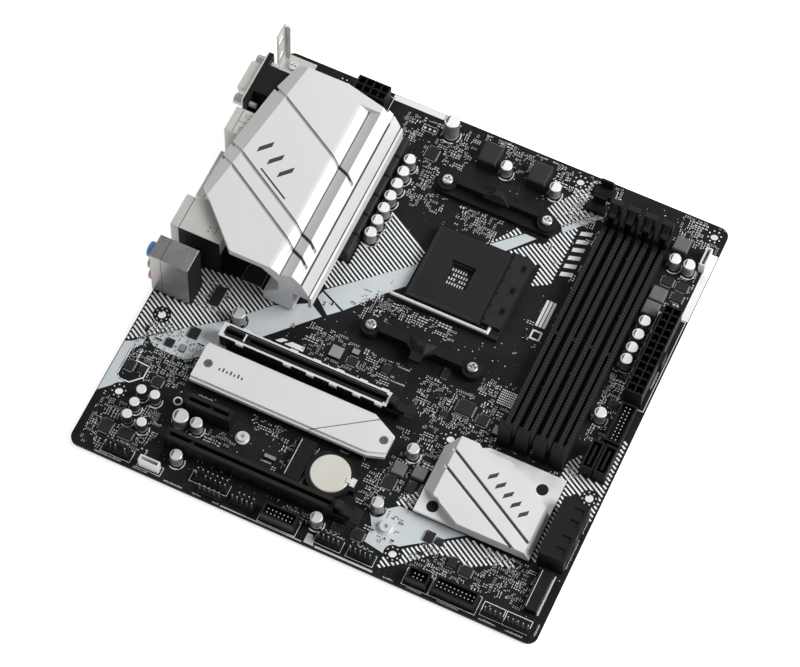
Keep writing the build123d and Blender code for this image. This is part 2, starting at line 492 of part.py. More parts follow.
# cooler brackets, their screws and the backplate under the board
BRACKET_TOP, EAR_TOP, SCREW_HEAD_R = 8.0, 5.6, 2.9
brackets, bracket_screws = [], []
for s in (-1, 1):
    cx, cy = SOCKET_CENTRE[0], SOCKET_CENTRE[1] + s * COOLER_DY / 2

    def row(a, b):
        """Lower and upper Y of a strip lying a to b outward from the screw line."""
        return (cy + a, cy + b) if s > 0 else (cy - b, cy - a)

    y0, y1 = row(-5.6, 2.2)
    piece = block(cx - 32.5, y0, cx + 32.5, y1, 0, 3.0)
    piece = fillet(piece.edges().filter_by(Axis.Z), 3.0)
    y0, y1 = row(-0.6, 2.2)
    piece += block(cx - 22.0, y0, cx + 22.0, y1, 0, BRACKET_TOP)
    for side in (-1, 1):
        piece += can(cx + side * COOLER_DX / 2, cy, 5.0, 0, EAR_TOP)
    tip = [(cx - 9.0, cy + s * 1.0), (cx + 9.0, cy + s * 1.0), (cx + 3.4, cy + s * 4.8),
           (cx + 2.6, cy + s * 9.4), (cx - 2.6, cy + s * 9.4), (cx - 3.4, cy + s * 4.8)]
    piece += prism(tip, 5.0, BRACKET_TOP)
    for side in (-1, 1):
        piece -= can(cx + side * COOLER_DX / 2, cy, COOLER_HOLE_R, -1, 10)
    brackets.append(piece)
    for side in (-1, 1):
        sx = cx + side * COOLER_DX / 2
        head = fillet(can(sx, cy, SCREW_HEAD_R, EAR_TOP, EAR_TOP + 2.0).edges().group_by(Axis.Z)[-1], 0.8)
        one = head + can(sx, cy, COOLER_HOLE_R - 0.15, -BOARD_T - 2.0, EAR_TOP + 0.5)
        one -= block(sx - 1.8, cy - 0.45, sx + 1.8, cy + 0.45, EAR_TOP + 0.7, 12)
        one -= block(sx - 0.45, cy - 1.8, sx + 0.45, cy + 1.8, EAR_TOP + 0.7, 12)
        bracket_screws.append(one)
save("cooler_brackets", *brackets)
save("cooler_bracket_screws", *bracket_screws)

BACK_T = 1.2
back_under = -BOARD_T - BACK_T
mid_x, mid_y = SOCKET_CENTRE
plate = block(mid_x - 33, mid_y - 51, mid_x + 33, mid_y + 51, back_under, -BOARD_T)
plate = fillet(plate.edges().filter_by(Axis.Z), 5.0)
plate -= block(mid_x - 22, mid_y - 30, mid_x + 22, mid_y + 30, -6, 0)
for hx, hy in cooler_holes:
    plate += can(hx, hy, 4.0, back_under - 1.0, back_under)
    plate -= can(hx, hy, COOLER_HOLE_R - 0.15, -8, 0)
save("cooler_backplate", plate)

# ---------------------------------------------------------------- chipset heatsink
CHIP_Y0, CHIP_BASE, CHIP_STEP, CHIP_TOP_Z = 36.9, 2.5, 4.3, 9.6
base_plan = [(164.9, CHIP_Y0), (224.7, CHIP_Y0), (224.7, 82.0), (184.6, 82.0), (180.6, 79.8),
             (171.0, 79.8), (164.9, 74.0)]
chip_sink = prism(base_plan, CHIP_BASE, CHIP_STEP)
raised = [(165.0, 73.9), (171.0, 79.6), (180.0, 79.6), (183.0, 77.4), (197.3, 77.4), (224.6, 61.2),
          (224.6, CHIP_Y0), (187.4, CHIP_Y0), (165.0, 49.4)]
top = prism(raised, CHIP_STEP, CHIP_TOP_Z)
left_wedge = [(164.0, CHIP_STEP), (165.0, CHIP_STEP), (171.0, CHIP_TOP_Z), (171.0, 12.0), (164.0, 12.0)]
right_wedge = [(226.0, CHIP_STEP), (224.6, CHIP_STEP), (221.6, CHIP_TOP_Z), (221.6, 12.0), (226.0, 12.0)]
for side in (left_wedge, right_wedge):
    top -= section_xz(side, 30, 90)
chip_sink += top
CHIP_GROOVES = [((160.0, 78.0), (226.0, 39.9)), ((160.0, 68.0), (222.0, 33.3))]
for p, q in CHIP_GROOVES:
    chip_sink -= groove(p, q, 1.5, CHIP_TOP_Z - 1.4, CHIP_TOP_Z + 1)
for px, py in PUSHPINS:
    chip_sink -= can(px, py, 3.0, CHIP_BASE + 0.8, 12)
    chip_sink -= can(px, py, 1.8, 0, 12)
save("chipset_heatsink", chip_sink)
pins = []
for px, py in PUSHPINS:
    pin = can(px, py, 2.7, CHIP_BASE + 0.8, CHIP_BASE + 2.0)
    pin += can(px, py, PUSHPIN_R - 0.1, -BOARD_T - 2.2, CHIP_BASE + 1.0)
    pin += can(px, py, PUSHPIN_R + 0.35, -BOARD_T - 1.4, -BOARD_T - 0.05)
    pins.append(pin)
save("heatsink_push_pins", *pins)

# ---------------------------------------------------------------- solid state drive cover
M2_Y0, M2_Y1, M2_UNDER, M2_TOP = 51.6, 73.2, 4.7, 8.6
m2_plan = [(39.4, M2_Y0), (133.4, M2_Y0), (141.8, 54.4), (141.8, 66.4), (128.6, M2_Y1), (39.4, M2_Y1)]
m2_cover = prism(m2_plan, M2_UNDER, 7.2)
m2_cover += prism([(39.4, 53.0), (133.0, 53.0), (141.8, 56.0), (141.8, 64.6), (128.0, 71.4), (39.4, 71.4)],
                  7.2, M2_TOP)
for rib in range(3):
    z = M2_UNDER + 0.5 + rib * 0.75
    m2_cover -= block(39, M2_Y0 - 1, 133, M2_Y0 + 0.3, z, z + 0.3)
    m2_cover -= block(39, M2_Y1 - 0.3, 128, M2_Y1 + 1, z, z + 0.3)
m2_cover -= groove((103.8, 51.8), (132.2, 71.3), 0.5, M2_TOP - 0.3, M2_TOP + 1)
M2_SCREWS = [(44.4, 62.3), (138.0, 61.8)]
for sx, sy in M2_SCREWS:
    m2_cover -= can(sx, sy, 2.2, M2_TOP - 0.9, M2_TOP + 1)
    m2_cover -= can(sx, sy, 1.3, 0, M2_TOP + 1)
save("drive_cover", m2_cover)
m2_screws = []
for sx, sy in M2_SCREWS:
    one = can(sx, sy, 2.1, M2_TOP - 0.9, M2_TOP - 0.1) + can(sx, sy, 1.2, M2_UNDER - 2.0, M2_TOP - 0.5)
    one -= block(sx - 1.3, sy - 0.25, sx + 1.3, sy + 0.25, M2_TOP - 0.5, 12)
    one -= block(sx - 0.25, sy - 1.3, sx + 0.25, sy + 1.3, M2_TOP - 0.5, 12)
    m2_screws.append(one)
save("drive_cover_screws", *m2_screws)
cover_posts = [can(sx, sy, 2.75, 0, M2_UNDER) - can(sx, sy, 1.2, M2_UNDER - 2.0, M2_UNDER + 1)
               for sx, sy in M2_SCREWS]


def card_socket(x0, y0, x1, y1, mouth):
    """Low edge-card socket; mouth is -1 when its slot opens toward -X and +1 toward +X."""
    body = block(x0, y0, x1, y1, 0, 4.2)
    if mouth < 0:
        body -= block(x0 - 1, y0 + 1.0, x0 + 4.2, y1 - 1.0, 2.0, 3.2)
    else:
        body -= block(x1 - 4.2, y0 + 1.0, x1 + 1, y1 - 1.0, 2.0, 3.2)
    return body


card_sockets = [card_socket(125.0, 51.6, 131.4, 71.6, -1), card_socket(231.9, 14.3, 238.4, 36.3, -1),
                card_socket(101.0, 26.6, 109.6, 48.6, -1)]
save("card_sockets", *card_sockets)
posts = list(cover_posts)
for px, py, r in ((75.0, 37.2, 2.6), (156.6, 24.4, 2.9)):
    post = can(px, py, r, 0, 2.6) + can(px, py, r + 0.9, 0, 0.6)
    posts.append(post - can(px, py, 1.1, 0.8, 4))
save("card_standoffs", *posts)

# ---------------------------------------------------------------- backup battery
CELL = (121.8, 36.8)
holder = can(*CELL, 12.2, 0, 4.6)
holder &= block(CELL[0] - 12.5, CELL[1] - 10.6, CELL[0] + 12.5, CELL[1] + 10.6, 0, 10)
holder += block(CELL[0] + 8.0, CELL[1] - 4.0, CELL[0] + 14.0, CELL[1] + 4.0, 0, 4.6)
holder -= can(*CELL, 10.1, 1.8, 10)
save("battery_holder", holder)
cell = can(*CELL, 9.9, 1.85, 5.05)
cell = chamfer(cell.edges().filter_by(GeomType.CIRCLE).sort_by(Axis.Z)[-1], 0.4)
save("coin_cell", cell)
clip = block(CELL[0] + 10.6, CELL[1] - 2.2, CELL[0] + 13.2, CELL[1] + 2.2, 4.65, 5.3)
clip += block(CELL[0] + 8.6, CELL[1] - 1.2, CELL[0] + 11.4, CELL[1] + 1.2, 5.1, 5.6)
save("battery_clip", clip)

# ---------------------------------------------------------------- drive ports and headers
SATA_X0, SATA_Y0, SATA_Y1, SATA_H = 228.0, 38.7, 70.6, 13.6
angled = block(SATA_X0, SATA_Y0, 241.6, SATA_Y1, 0, SATA_H)
for col in range(2):
    for level in range(2):
        y = SATA_Y0 + 1.3 + col * 15.4
        z = 1.4 + level * 6.2
        opening = block(233.0, y, 243.0, y + 13.6, z, z + 4.8)
        opening -= block(233.0, y + 1.8, 240.4, y + 11.4, z + 1.6, z + 2.8)
        angled -= opening
    # latch windows in the roof, two over each column of ports
    for window_y in (y + 2.0, y + 8.6):
        angled -= block(234.6, window_y, 239.6, window_y + 3.2, SATA_H - 0.8, SATA_H + 1)
save("drive_ports_angled", angled)
upright_ports = []
for k in range(2):
    x = 227.6 + 6.9 * k
    port = block(x, 90.0, x + 6.3, 106.2, 0, 8.6)
    port -= block(x + 0.9, 91.2, x + 5.4, 105.0, 1.6, 9)
    port += block(x + 2.5, 92.6, x + 3.7, 103.6, 1.6, 7.8)
    upright_ports.append(port)
save("drive_ports_upright", *upright_ports)


def shrouded(x0, y0, x1, y1, height, wall=1.0):
    inside = block(x0 + wall, y0 + wall, x1 - wall, y1 - wall, 2.0, height + 1)
    return block(x0, y0, x1, y1, 0, height) - inside


WIDE_HEADERS = [(232.2, 108.8, 240.4, 131.4, 6.5), (189.6, 3.2, 211.4, 10.9, 6.5)]
save("wide_usb_headers", *[shrouded(*h) for h in WIDE_HEADERS])

PITCH = 2.54


def pin_rows(x0, y0, cols, rows, z0, z1, pitch=PITCH):
    """Square pins; the first stands at (x0, y0)."""
    half = 0.32
    places = [(x0 + i * pitch, y0 + j * pitch) for i in range(cols) for j in range(rows)]
    return [block(x - half, y - half, x + half, y + half, z0, z1) for x, y in places]


# plain pin headers: first pin, columns, rows, missing pin (keying)
PIN_HEADERS = [(18.8, 4.6, 5, 2, (3, 0)), (130.7, 5.4, 5, 2, (4, 1)), (147.2, 5.4, 5, 2, (4, 1)),
               (216.6, 5.0, 4, 1, None), (228.2, 5.0, 5, 1, None), (64.9, 8.4, 7, 2, (1, 0)),
               (69.2, 3.6, 5, 1, None), (85.6, 5.2, 5, 2, (0, 1))]
header_bases, header_pins = [], []
for x0, y0, cols, rows, missing in PIN_HEADERS:
    far_x, far_y = x0 + (cols - 0.5) * PITCH, y0 + (rows - 0.5) * PITCH
    header_bases.append(block(x0 - 1.27, y0 - 1.27, far_x, far_y, 0, 2.5))
    for i in range(cols):
        for j in range(rows):
            if (i, j) != missing:
                header_pins += pin_rows(x0 + i * PITCH, y0 + j * PITCH, 1, 1, 2.5, 8.5)
for x0, y0, x1, y1, height in WIDE_HEADERS:
    along_y = (y1 - y0) > (x1 - x0)
    mid_x, mid_y = (x0 + x1) / 2, (y0 + y1) / 2
    cols, rows = (2, 10) if along_y else (10, 2)
    header_pins += pin_rows(mid_x - (cols - 1), mid_y - (rows - 1), cols, rows, 2.0, 5.6, pitch=2.0)
BOX_HEADERS = [(101.0, 2.6, 118.6, 9.6, 8.0), (176.2, 3.0, 187.0, 9.8, 7.0)]
header_bases += [shrouded(*h) for h in BOX_HEADERS]
for x0, y0, x1, y1, height in BOX_HEADERS:
    cols = int((x1 - x0 - 3.0) / 2.0)
    header_pins += pin_rows((x0 + x1) / 2 - (cols - 1), (y0 + y1) / 2 - 1.0, cols, 2, 2.0, height - 1.5, 2.0)
save("pin_header_bases", *header_bases)
save("header_pins", *power_pins, *header_pins)


def fan_header(x0, y0, cols, wall_side):
    """Four-pin friction header: a low base and a tall back wall."""
    length = (cols - 1) * PITCH + 2.6
    base_part = block(x0, y0, x0 + length, y0 + 5.6, 0, 3.2)
    wall_y = y0 + 4.4 if wall_side > 0 else y0
    return base_part + block(x0 + 1.8, wall_y, x0 + length - 1.8, wall_y + 1.2, 3.2, 9.6)


FANS = [(173.6, 233.4), (173.6, 223.6)]
save("fan_headers", *[fan_header(x, y, 4, 1) for x, y in FANS])
white = [block(36.8, 2.8, 47.2, 6.0, 0, 7.6), block(237.2, 215.6, 240.4, 226.4, 0, 8.0)]
white[0] -= block(37.6, 3.6, 46.4, 5.2, 2, 9)
white[1] -= block(238.0, 216.4, 239.6, 225.6, 2, 9)
save("white_headers", *white)

# ---------------------------------------------------------------- chips
# x0, y0, x1, y1, height of every larger chip on the component face
CHIPS = [(10.2, 11.4, 16.2, 18.2, 1.2), (20.2, 12.6, 27.2, 17.8, 1.2), (6.2, 46.0, 11.0, 51.4, 1.0),
         (13.2, 47.4, 16.8, 51.4, 1.0), (22.4, 43.8, 27.4, 49.0, 1.0), (18.6, 65.6, 22.8, 70.0, 1.0),
         (26.6, 74.6, 31.6, 80.6, 1.2), (28.0, 95.2, 33.0, 106.0, 1.6), (36.8, 114.4, 46.8, 123.6, 1.6),
         (88.2, 216.4, 94.2, 223.6, 1.0), (102.4, 94.8, 107.6, 99.4, 1.0), (119.4, 98.4, 124.0, 102.8, 1.2),
         (146.6, 108.2, 150.6, 113.6, 1.0), (160.6, 94.2, 169.2, 101.4, 1.4), (172.2, 92.6, 177.6, 98.2, 1.2),
         (145.2, 43.2, 151.2, 50.0, 1.2), (156.4, 45.4, 160.8, 51.4, 1.2), (175.0, 26.2, 179.6, 31.8, 1.2),
         (180.6, 27.0, 184.6, 30.6, 1.0), (190.2, 19.2, 194.6, 24.6, 1.2), (197.0, 18.0, 203.0, 23.0, 1.2),
         (223.2, 201.6, 229.0, 206.6, 1.4), (230.8, 201.6, 236.8, 206.6, 1.4),
         (230.8, 195.0, 236.8, 199.8, 1.4),
         (196.6, 50.0, 213.6, 67.0, CHIP_BASE - 0.02), (143.6, 12.8, 149.2, 18.0, 1.4),
         (133.0, 12.6, 139.4, 16.3, 1.4), (225.8, 128.6, 230.8, 132.6, 1.2), (154.6, 89.4, 158.8, 92.2, 1.0)]
PALE_PARTS = [(92.8, 94.8, 99.2, 101.2, 1.4), (102.6, 100.8, 106.4, 103.8, 1.2),
              (26.6, 65.8, 29.2, 69.6, 1.2), (88.6, 32.4, 94.6, 34.4, 1.6), (181.6, 90.8, 185.0, 95.6, 1.6)]
save("chips", *[block(*c[:4], 0, c[4]) for c in CHIPS + PALE_PARTS])

# ---------------------------------------------------------------- soldered tails on the underside
TAIL, LOCK = 1.2, 2.2        # how far pin tails and the ports' board locks stand below the board


def tail(x, y, drop, r=0.8):
    return Pos(x, y, -drop) * Cone(0.35 * r, r, drop, align=STANDING)


LOCKS = [(3.0, AUD_Y0 + 1.0), (3.0, AUD_Y1 - 1.0), (8.0, LAN_Y0 + 1.2), (8.0, LAN_Y1 - 1.2),
         (4.0, USB_Y[0] + 1.0), (4.0, USB_Y[1] + USB_W - 1.0), (4.0, TALL_Y0 + 1.0), (4.0, TALL_Y1 - 1.0),
         (4.5, VID_Y0 + 3.0), (4.5, VID_Y1 - 3.0)]
joints = [tail(x, y, LOCK, 1.3) for x, y in LOCKS]
joints += [tail(x, AUD_MID + side * 3.6, TAIL) for x in (6.0, 11.0, 16.0) for side in (-1, 1)]
joints += [tail(14.0 + 2.54 * i, LAN_MID - 4.4 + 2.54 * j, TAIL) for i in range(4) for j in range(4)]
for x0, y0, cols, rows in ((ATX_X0, ATX_Y0, 2, 12), (EPS_X0, EPS_Y0, 4, 2)):
    joints += [tail(x0 + 2.55 + 4.2 * i, y0 + 2.55 + 4.2 * j, TAIL, 1.1)
               for i in range(cols) for j in range(rows)]
save("solder_joints", *joints)
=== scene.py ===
"""Looks of a micro-ATX motherboard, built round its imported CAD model.

Lay-out figures are in board millimetres: X from the rear port edge, Y from the header edge, heights
above the component face.  place() turns them into the frame's metres.
"""
import bpy
import math
import random
import numpy as np
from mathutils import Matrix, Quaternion, Vector


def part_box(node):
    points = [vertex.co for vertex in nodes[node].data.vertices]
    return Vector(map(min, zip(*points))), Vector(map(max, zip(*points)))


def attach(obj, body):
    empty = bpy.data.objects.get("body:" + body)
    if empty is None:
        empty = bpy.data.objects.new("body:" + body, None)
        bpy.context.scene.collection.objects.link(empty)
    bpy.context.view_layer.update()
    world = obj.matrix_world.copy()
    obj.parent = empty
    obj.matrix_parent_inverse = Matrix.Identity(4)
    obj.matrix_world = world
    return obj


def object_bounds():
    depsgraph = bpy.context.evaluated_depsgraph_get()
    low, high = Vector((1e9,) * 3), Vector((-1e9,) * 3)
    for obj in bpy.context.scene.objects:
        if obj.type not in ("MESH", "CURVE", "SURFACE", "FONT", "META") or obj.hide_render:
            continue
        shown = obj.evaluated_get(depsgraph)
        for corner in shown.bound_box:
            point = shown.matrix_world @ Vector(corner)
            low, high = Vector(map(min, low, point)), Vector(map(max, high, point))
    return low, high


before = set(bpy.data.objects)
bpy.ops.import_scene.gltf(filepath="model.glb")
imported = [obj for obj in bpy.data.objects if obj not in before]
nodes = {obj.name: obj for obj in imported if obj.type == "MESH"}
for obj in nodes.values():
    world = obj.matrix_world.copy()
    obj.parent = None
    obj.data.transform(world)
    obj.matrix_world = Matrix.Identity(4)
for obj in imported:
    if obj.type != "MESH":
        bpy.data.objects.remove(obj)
cad_low, cad_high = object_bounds()

MM = 0.001
BOARD = "board"
board_low, board_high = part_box("circuit_board")
TOP = board_high.z
THICK = (board_high.z - board_low.z) / MM
SIDE = (board_high.x - board_low.x) / MM
SEED = 11
rng = random.Random(SEED)


def place(x, y, z=0.0):
    """Board millimetres to the frame's metres."""
    return Vector((board_low.x + x * MM, board_low.y + y * MM, TOP + z * MM))


# ------------------------------------------------------------------ camera, light and floor
CAMERA_AT = place(383.8, -536.8, 1384.9)
CAMERA_AIM = place(94.05, 136.69, 0)
CAMERA_ROLL = math.radians(2.12)
camera_data = bpy.data.cameras.new("camera")
camera = bpy.data.objects.new("camera", camera_data)
bpy.context.scene.collection.objects.link(camera)
camera.location = CAMERA_AT
camera.rotation_mode = "QUATERNION"
look = (CAMERA_AIM - CAMERA_AT).to_track_quat("-Z", "Y")
camera.rotation_quaternion = look @ Quaternion((0, 0, 1), CAMERA_ROLL)
camera_data.sensor_width = 36
camera_data.lens = 143.6
camera_data.shift_x = 0.0416
camera_data.shift_y = -0.057
camera_data.clip_end = 20
bpy.context.scene.camera = camera
bpy.context.scene.view_settings.view_transform = "Standard"


def area_light(name, at, aim, size, power):
    """Square soft light of that side in metres, pointing at aim."""
    data = bpy.data.lights.new(name, "AREA")
    data.size = size
    data.energy = power
    lamp = bpy.data.objects.new(name, data)
    bpy.context.scene.collection.objects.link(lamp)
    lamp.location = at
    lamp.rotation_mode = "QUATERNION"
    lamp.rotation_quaternion = (Vector(aim) - Vector(at)).to_track_quat("-Z", "Y")


CENTRE = place(122, 122, 0)
area_light("key", CENTRE + Vector((1.25, 0.25, 1.15)), CENTRE, 0.9, 29.5)
area_light("fill", CENTRE + Vector((-0.9, -0.7, 1.2)), CENTRE, 1.0, 1.4)
area_light("back", CENTRE + Vector((-0.2, 1.2, 1.3)), CENTRE, 0.8, 5)

world = bpy.data.worlds.new("studio")
world.use_nodes = True
world.node_tree.nodes["Background"].inputs[0].default_value = (1, 1, 1, 1)
world.node_tree.nodes["Background"].inputs[1].default_value = 0.20
bpy.context.scene.world = world


# ------------------------------------------------------------------ materials
def surface(name, colour, rough=0.5, metal=0.0, spec=0.5, tone=0.15, grain=0.35, mottle=9.0,
            stretch=(1, 1, 1), bump=0.25, depth=0.015, extra=None):
    """Procedural finish: fine grain and broad mottling in colour, roughness and bump.

    grain and mottle are feature sizes in millimetres; extra(tree, coordinates, colour socket) may
    lay a pattern over the colour and return the new socket.
    """
    material = bpy.data.materials.new(name)
    material.use_nodes = True
    tree = material.node_tree
    shader = tree.nodes["Principled BSDF"]
    shader.inputs["Metallic"].default_value = metal
    shader.inputs["Specular IOR Level"].default_value = spec
    where = tree.nodes.new("ShaderNodeTexCoord")
    mapping = tree.nodes.new("ShaderNodeMapping")
    mapping.inputs["Scale"].default_value = stretch
    tree.links.new(where.outputs["Object"], mapping.inputs["Vector"])
    fine = tree.nodes.new("ShaderNodeTexNoise")
    fine.inputs["Scale"].default_value = 1 / (grain * MM)
    fine.inputs["Detail"].default_value = 3
    broad = tree.nodes.new("ShaderNodeTexNoise")
    broad.inputs["Scale"].default_value = 1 / (mottle * MM)
    broad.inputs["Detail"].default_value = 2
    for noise in (fine, broad):
        tree.links.new(mapping.outputs["Vector"], noise.inputs["Vector"])
    both = tree.nodes.new("ShaderNodeMath")
    both.operation = "MULTIPLY_ADD"
    both.inputs[1].default_value = 0.55
    tree.links.new(fine.outputs["Fac"], both.inputs[0])
    half = tree.nodes.new("ShaderNodeMath")
    half.operation = "MULTIPLY"
    half.inputs[1].default_value = 0.45
    tree.links.new(broad.outputs["Fac"], half.inputs[0])
    tree.links.new(half.outputs[0], both.inputs[2])
    ramp = tree.nodes.new("ShaderNodeValToRGB")
    ramp.color_ramp.elements[0].position = 0.3
    ramp.color_ramp.elements[1].position = 0.7
    ramp.color_ramp.elements[0].color = [c * (1 - tone) for c in colour] + [1]
    ramp.color_ramp.elements[1].color = [min(1.0, c * (1 + tone)) for c in colour] + [1]
    tree.links.new(both.outputs[0], ramp.inputs[0])
    out = ramp.outputs["Color"]
    if extra:
        out = extra(tree, where.outputs["Object"], out)
    tree.links.new(out, shader.inputs["Base Color"])
    spread = tree.nodes.new("ShaderNodeMapRange")
    spread.inputs["From Min"].default_value = 0.3
    spread.inputs["From Max"].default_value = 0.7
    spread.inputs["To Min"].default_value = max(0.03, rough - 0.08)
    spread.inputs["To Max"].default_value = min(1.0, rough + 0.08)
    tree.links.new(both.outputs[0], spread.inputs["Value"])
    tree.links.new(spread.outputs["Result"], shader.inputs["Roughness"])
    relief = tree.nodes.new("ShaderNodeBump")
    relief.inputs["Strength"].default_value = bump
    relief.inputs["Distance"].default_value = depth * MM
    tree.links.new(fine.outputs["Fac"], relief.inputs["Height"])
    tree.links.new(relief.outputs["Normal"], shader.inputs["Normal"])
    return material


def overlay(tree, mask, under, colour):
    """Mixes a constant colour over a colour socket where the mask is 1."""
    mix = tree.nodes.new("ShaderNodeMix")
    mix.data_type = "RGBA"
    sockets = [s for s in mix.inputs if s.type == "RGBA"]
    sockets[1].default_value = (*colour, 1)
    tree.links.new(mask, mix.inputs[0])
    tree.links.new(under, sockets[0])
    return [s for s in mix.outputs if s.type == "RGBA"][0]


def threshold(tree, value, low, high):
    """0 to 1 ramp of a value between low and high."""
    step = tree.nodes.new("ShaderNodeMapRange")
    step.inputs["From Min"].default_value = low
    step.inputs["From Max"].default_value = high
    tree.links.new(value, step.inputs["Value"])
    return step.outputs["Result"]


def times(tree, a, b):
    """Product of two values."""
    node = tree.nodes.new("ShaderNodeMath")
    node.operation = "MULTIPLY"
    tree.links.new(a, node.inputs[0])
    tree.links.new(b, node.inputs[1])
    return node.outputs[0]


def copper_pattern(tree, where, out):
    """Buried copper seen through the mask: bundles of fine tracks and small plated vias."""
    for axis, region_scale, low in (("X", 38, 0.52), ("Y", 31, 0.55), ("DIAGONAL", 44, 0.57)):
        wave = tree.nodes.new("ShaderNodeTexWave")
        wave.wave_type = "BANDS"
        wave.bands_direction = axis
        wave.inputs["Scale"].default_value = 420
        wave.inputs["Distortion"].default_value = 0.4
        wave.inputs["Detail Scale"].default_value = 0.6
        tree.links.new(where, wave.inputs["Vector"])
        region = tree.nodes.new("ShaderNodeTexNoise")
        region.inputs["Scale"].default_value = region_scale
        region.inputs["Detail"].default_value = 0
        tree.links.new(where, region.inputs["Vector"])
        mask = times(tree, threshold(tree, wave.outputs["Fac"], 0.72, 0.86),
                     threshold(tree, region.outputs["Fac"], low, low + 0.03))
        out = overlay(tree, mask, out, (0.014, 0.014, 0.0155))
    dots = tree.nodes.new("ShaderNodeTexVoronoi")
    dots.inputs["Scale"].default_value = 330
    tree.links.new(where, dots.inputs["Vector"])
    ring = threshold(tree, dots.outputs["Distance"], 0.13, 0.09)
    return overlay(tree, ring, out, (0.05, 0.05, 0.05))


def bright_top(tree, where, out):
    """Bare aluminium on faces that look upward, the sleeve's own colour down the sides."""
    facing = tree.nodes.new("ShaderNodeNewGeometry")
    split = tree.nodes.new("ShaderNodeSeparateXYZ")
    tree.links.new(facing.outputs["Normal"], split.inputs[0])
    return overlay(tree, threshold(tree, split.outputs["Z"], 0.55, 0.8), out, (0.84, 0.84, 0.85))


def speckles(colour, scale, size):
    """Sparse small flecks of a colour."""
    def extra(tree, where, out):
        dots = tree.nodes.new("ShaderNodeTexVoronoi")
        dots.inputs["Scale"].default_value = scale
        tree.links.new(where, dots.inputs["Vector"])
        return overlay(tree, threshold(tree, dots.outputs["Distance"], size, size * 0.6), out, colour)
    return extra


BRUSH_X, BRUSH_Y = (0.08, 1, 1), (1, 0.08, 1)
MASK = surface("board_mask", (0.0062, 0.0062, 0.0070), 0.62, spec=0.2, tone=0.25, grain=0.5,
               bump=0.25, extra=copper_pattern)
SILK = surface("screen_print", (0.86, 0.88, 0.89), 0.55, spec=0.3, tone=0.05, grain=0.25)
FIELD = surface("printed_field", (0.60, 0.645, 0.675), 0.55, spec=0.3, tone=0.07, grain=0.25,
                extra=speckles((0.42, 0.45, 0.47), 900, 0.12))
PLASTIC = surface("black_plastic", (0.0080, 0.0080, 0.0086), 0.58, spec=0.22, tone=0.3, grain=0.3)
LATCH_PLASTIC = surface("latch_plastic", (0.013, 0.013, 0.014), 0.5, spec=0.25, tone=0.2, grain=0.25)
RIB_PLASTIC = surface("rib_plastic", (0.030, 0.030, 0.032), 0.5, spec=0.3, tone=0.2, grain=0.25)
SOCKET_PLASTIC = surface("socket_plastic", (0.020, 0.020, 0.0225), 0.6, spec=0.22, tone=0.2, grain=0.25)
PAINT = surface("heatsink_paint", (0.80, 0.80, 0.81), 0.42, metal=0.25, spec=0.45, tone=0.035,
                grain=0.18, mottle=30, bump=0.22, depth=0.01, extra=speckles((0.62, 0.62, 0.63), 1500, 0.1))
# groove paint darkened as painted shade, for the chipset heatsink's grooves
GROOVE_SHADE = surface("groove_paint_with_painted_shade", (0.10, 0.10, 0.103), 0.5, metal=0.2, tone=0.12, grain=0.3)
GROOVE = surface("groove_paint", (0.42, 0.42, 0.425), 0.5, metal=0.2, tone=0.12, grain=0.3)
# dark print and seams; the same colour also serves as painted shade in the heatsink and drive cover grooves
DARK_PRINT_AND_SHADE = surface("dark_print_and_painted_shade", (0.055, 0.055, 0.058), 0.5, spec=0.3, tone=0.12, grain=0.2)
BRIGHT = surface("bright_steel", (0.86, 0.86, 0.86), 0.42, metal=0.45, tone=0.05, grain=0.4, bump=0.08,
                 stretch=BRUSH_X)
CHROME = surface("bright_plate", (0.33, 0.328, 0.323), 0.32, metal=0.9, tone=0.08, grain=0.5, mottle=6,
                 bump=0.04, depth=0.004)
SATIN = surface("satin_shell", (0.66, 0.65, 0.62), 0.5, metal=0.55, tone=0.06, grain=0.4, bump=0.3)
SCREW = surface("screw_steel", (0.60, 0.59, 0.57), 0.3, metal=1.0, tone=0.15, grain=0.3)
TIN = surface("tin_plate", (0.78, 0.79, 0.80), 0.4, metal=0.45, tone=0.15, grain=0.2)
LEVER = surface("lever_steel", (0.80, 0.78, 0.72), 0.45, metal=0.35, tone=0.06, grain=0.5)
# pin metal darkened far below its own colour: painted shade on the header pins and on the contacts down in
# the memory slots
SHADED_PIN_METAL = surface("pin_metal_painted_shade", (0.060, 0.056, 0.046), 0.45, metal=0.4, tone=0.2, grain=0.25)
DARK_SCREW = surface("dark_screw", (0.20, 0.198, 0.19), 0.4, metal=0.8, tone=0.15, grain=0.3)
PRINT_GREY = surface("can_print", (0.12, 0.12, 0.125), 0.5, spec=0.3, tone=0.12, grain=0.2)
SOLDER = surface("solder", (0.66, 0.66, 0.68), 0.25, metal=0.9, tone=0.15, grain=0.3)
CAN = surface("capacitor_can", (0.34, 0.34, 0.35), 0.36, metal=0.6, tone=0.1, grain=0.25,
              stretch=(1, 1, 0.15), extra=bright_top)
BLACK_CAN = surface("black_can", (0.03, 0.03, 0.032), 0.4, metal=0.2, tone=0.15, grain=0.25, extra=bright_top)
FERRITE = surface("choke_ferrite", (0.021, 0.021, 0.023), 0.6, spec=0.35, tone=0.25, grain=0.22, bump=0.5)
GREY_CORE = surface("choke_grey", (0.135, 0.135, 0.142), 0.6, spec=0.35, tone=0.15, grain=0.2, bump=0.5)
RESIN = surface("chip_resin", (0.016, 0.016, 0.017), 0.6, spec=0.3, tone=0.2, grain=0.15, bump=0.4)
PALE_RESIN = surface("pale_part", (0.30, 0.29, 0.26), 0.5, metal=0.2, tone=0.12, grain=0.2)
TAN = surface("capacitor_ceramic", (0.105, 0.090, 0.075), 0.5, tone=0.2, grain=0.2)
CELL = surface("cell_steel", (0.80, 0.785, 0.70), 0.4, metal=0.45, tone=0.05, grain=0.25, stretch=BRUSH_Y)
BLUE = surface("ring_blue", (0.09, 0.30, 0.62), 0.45, tone=0.1, grain=0.3)
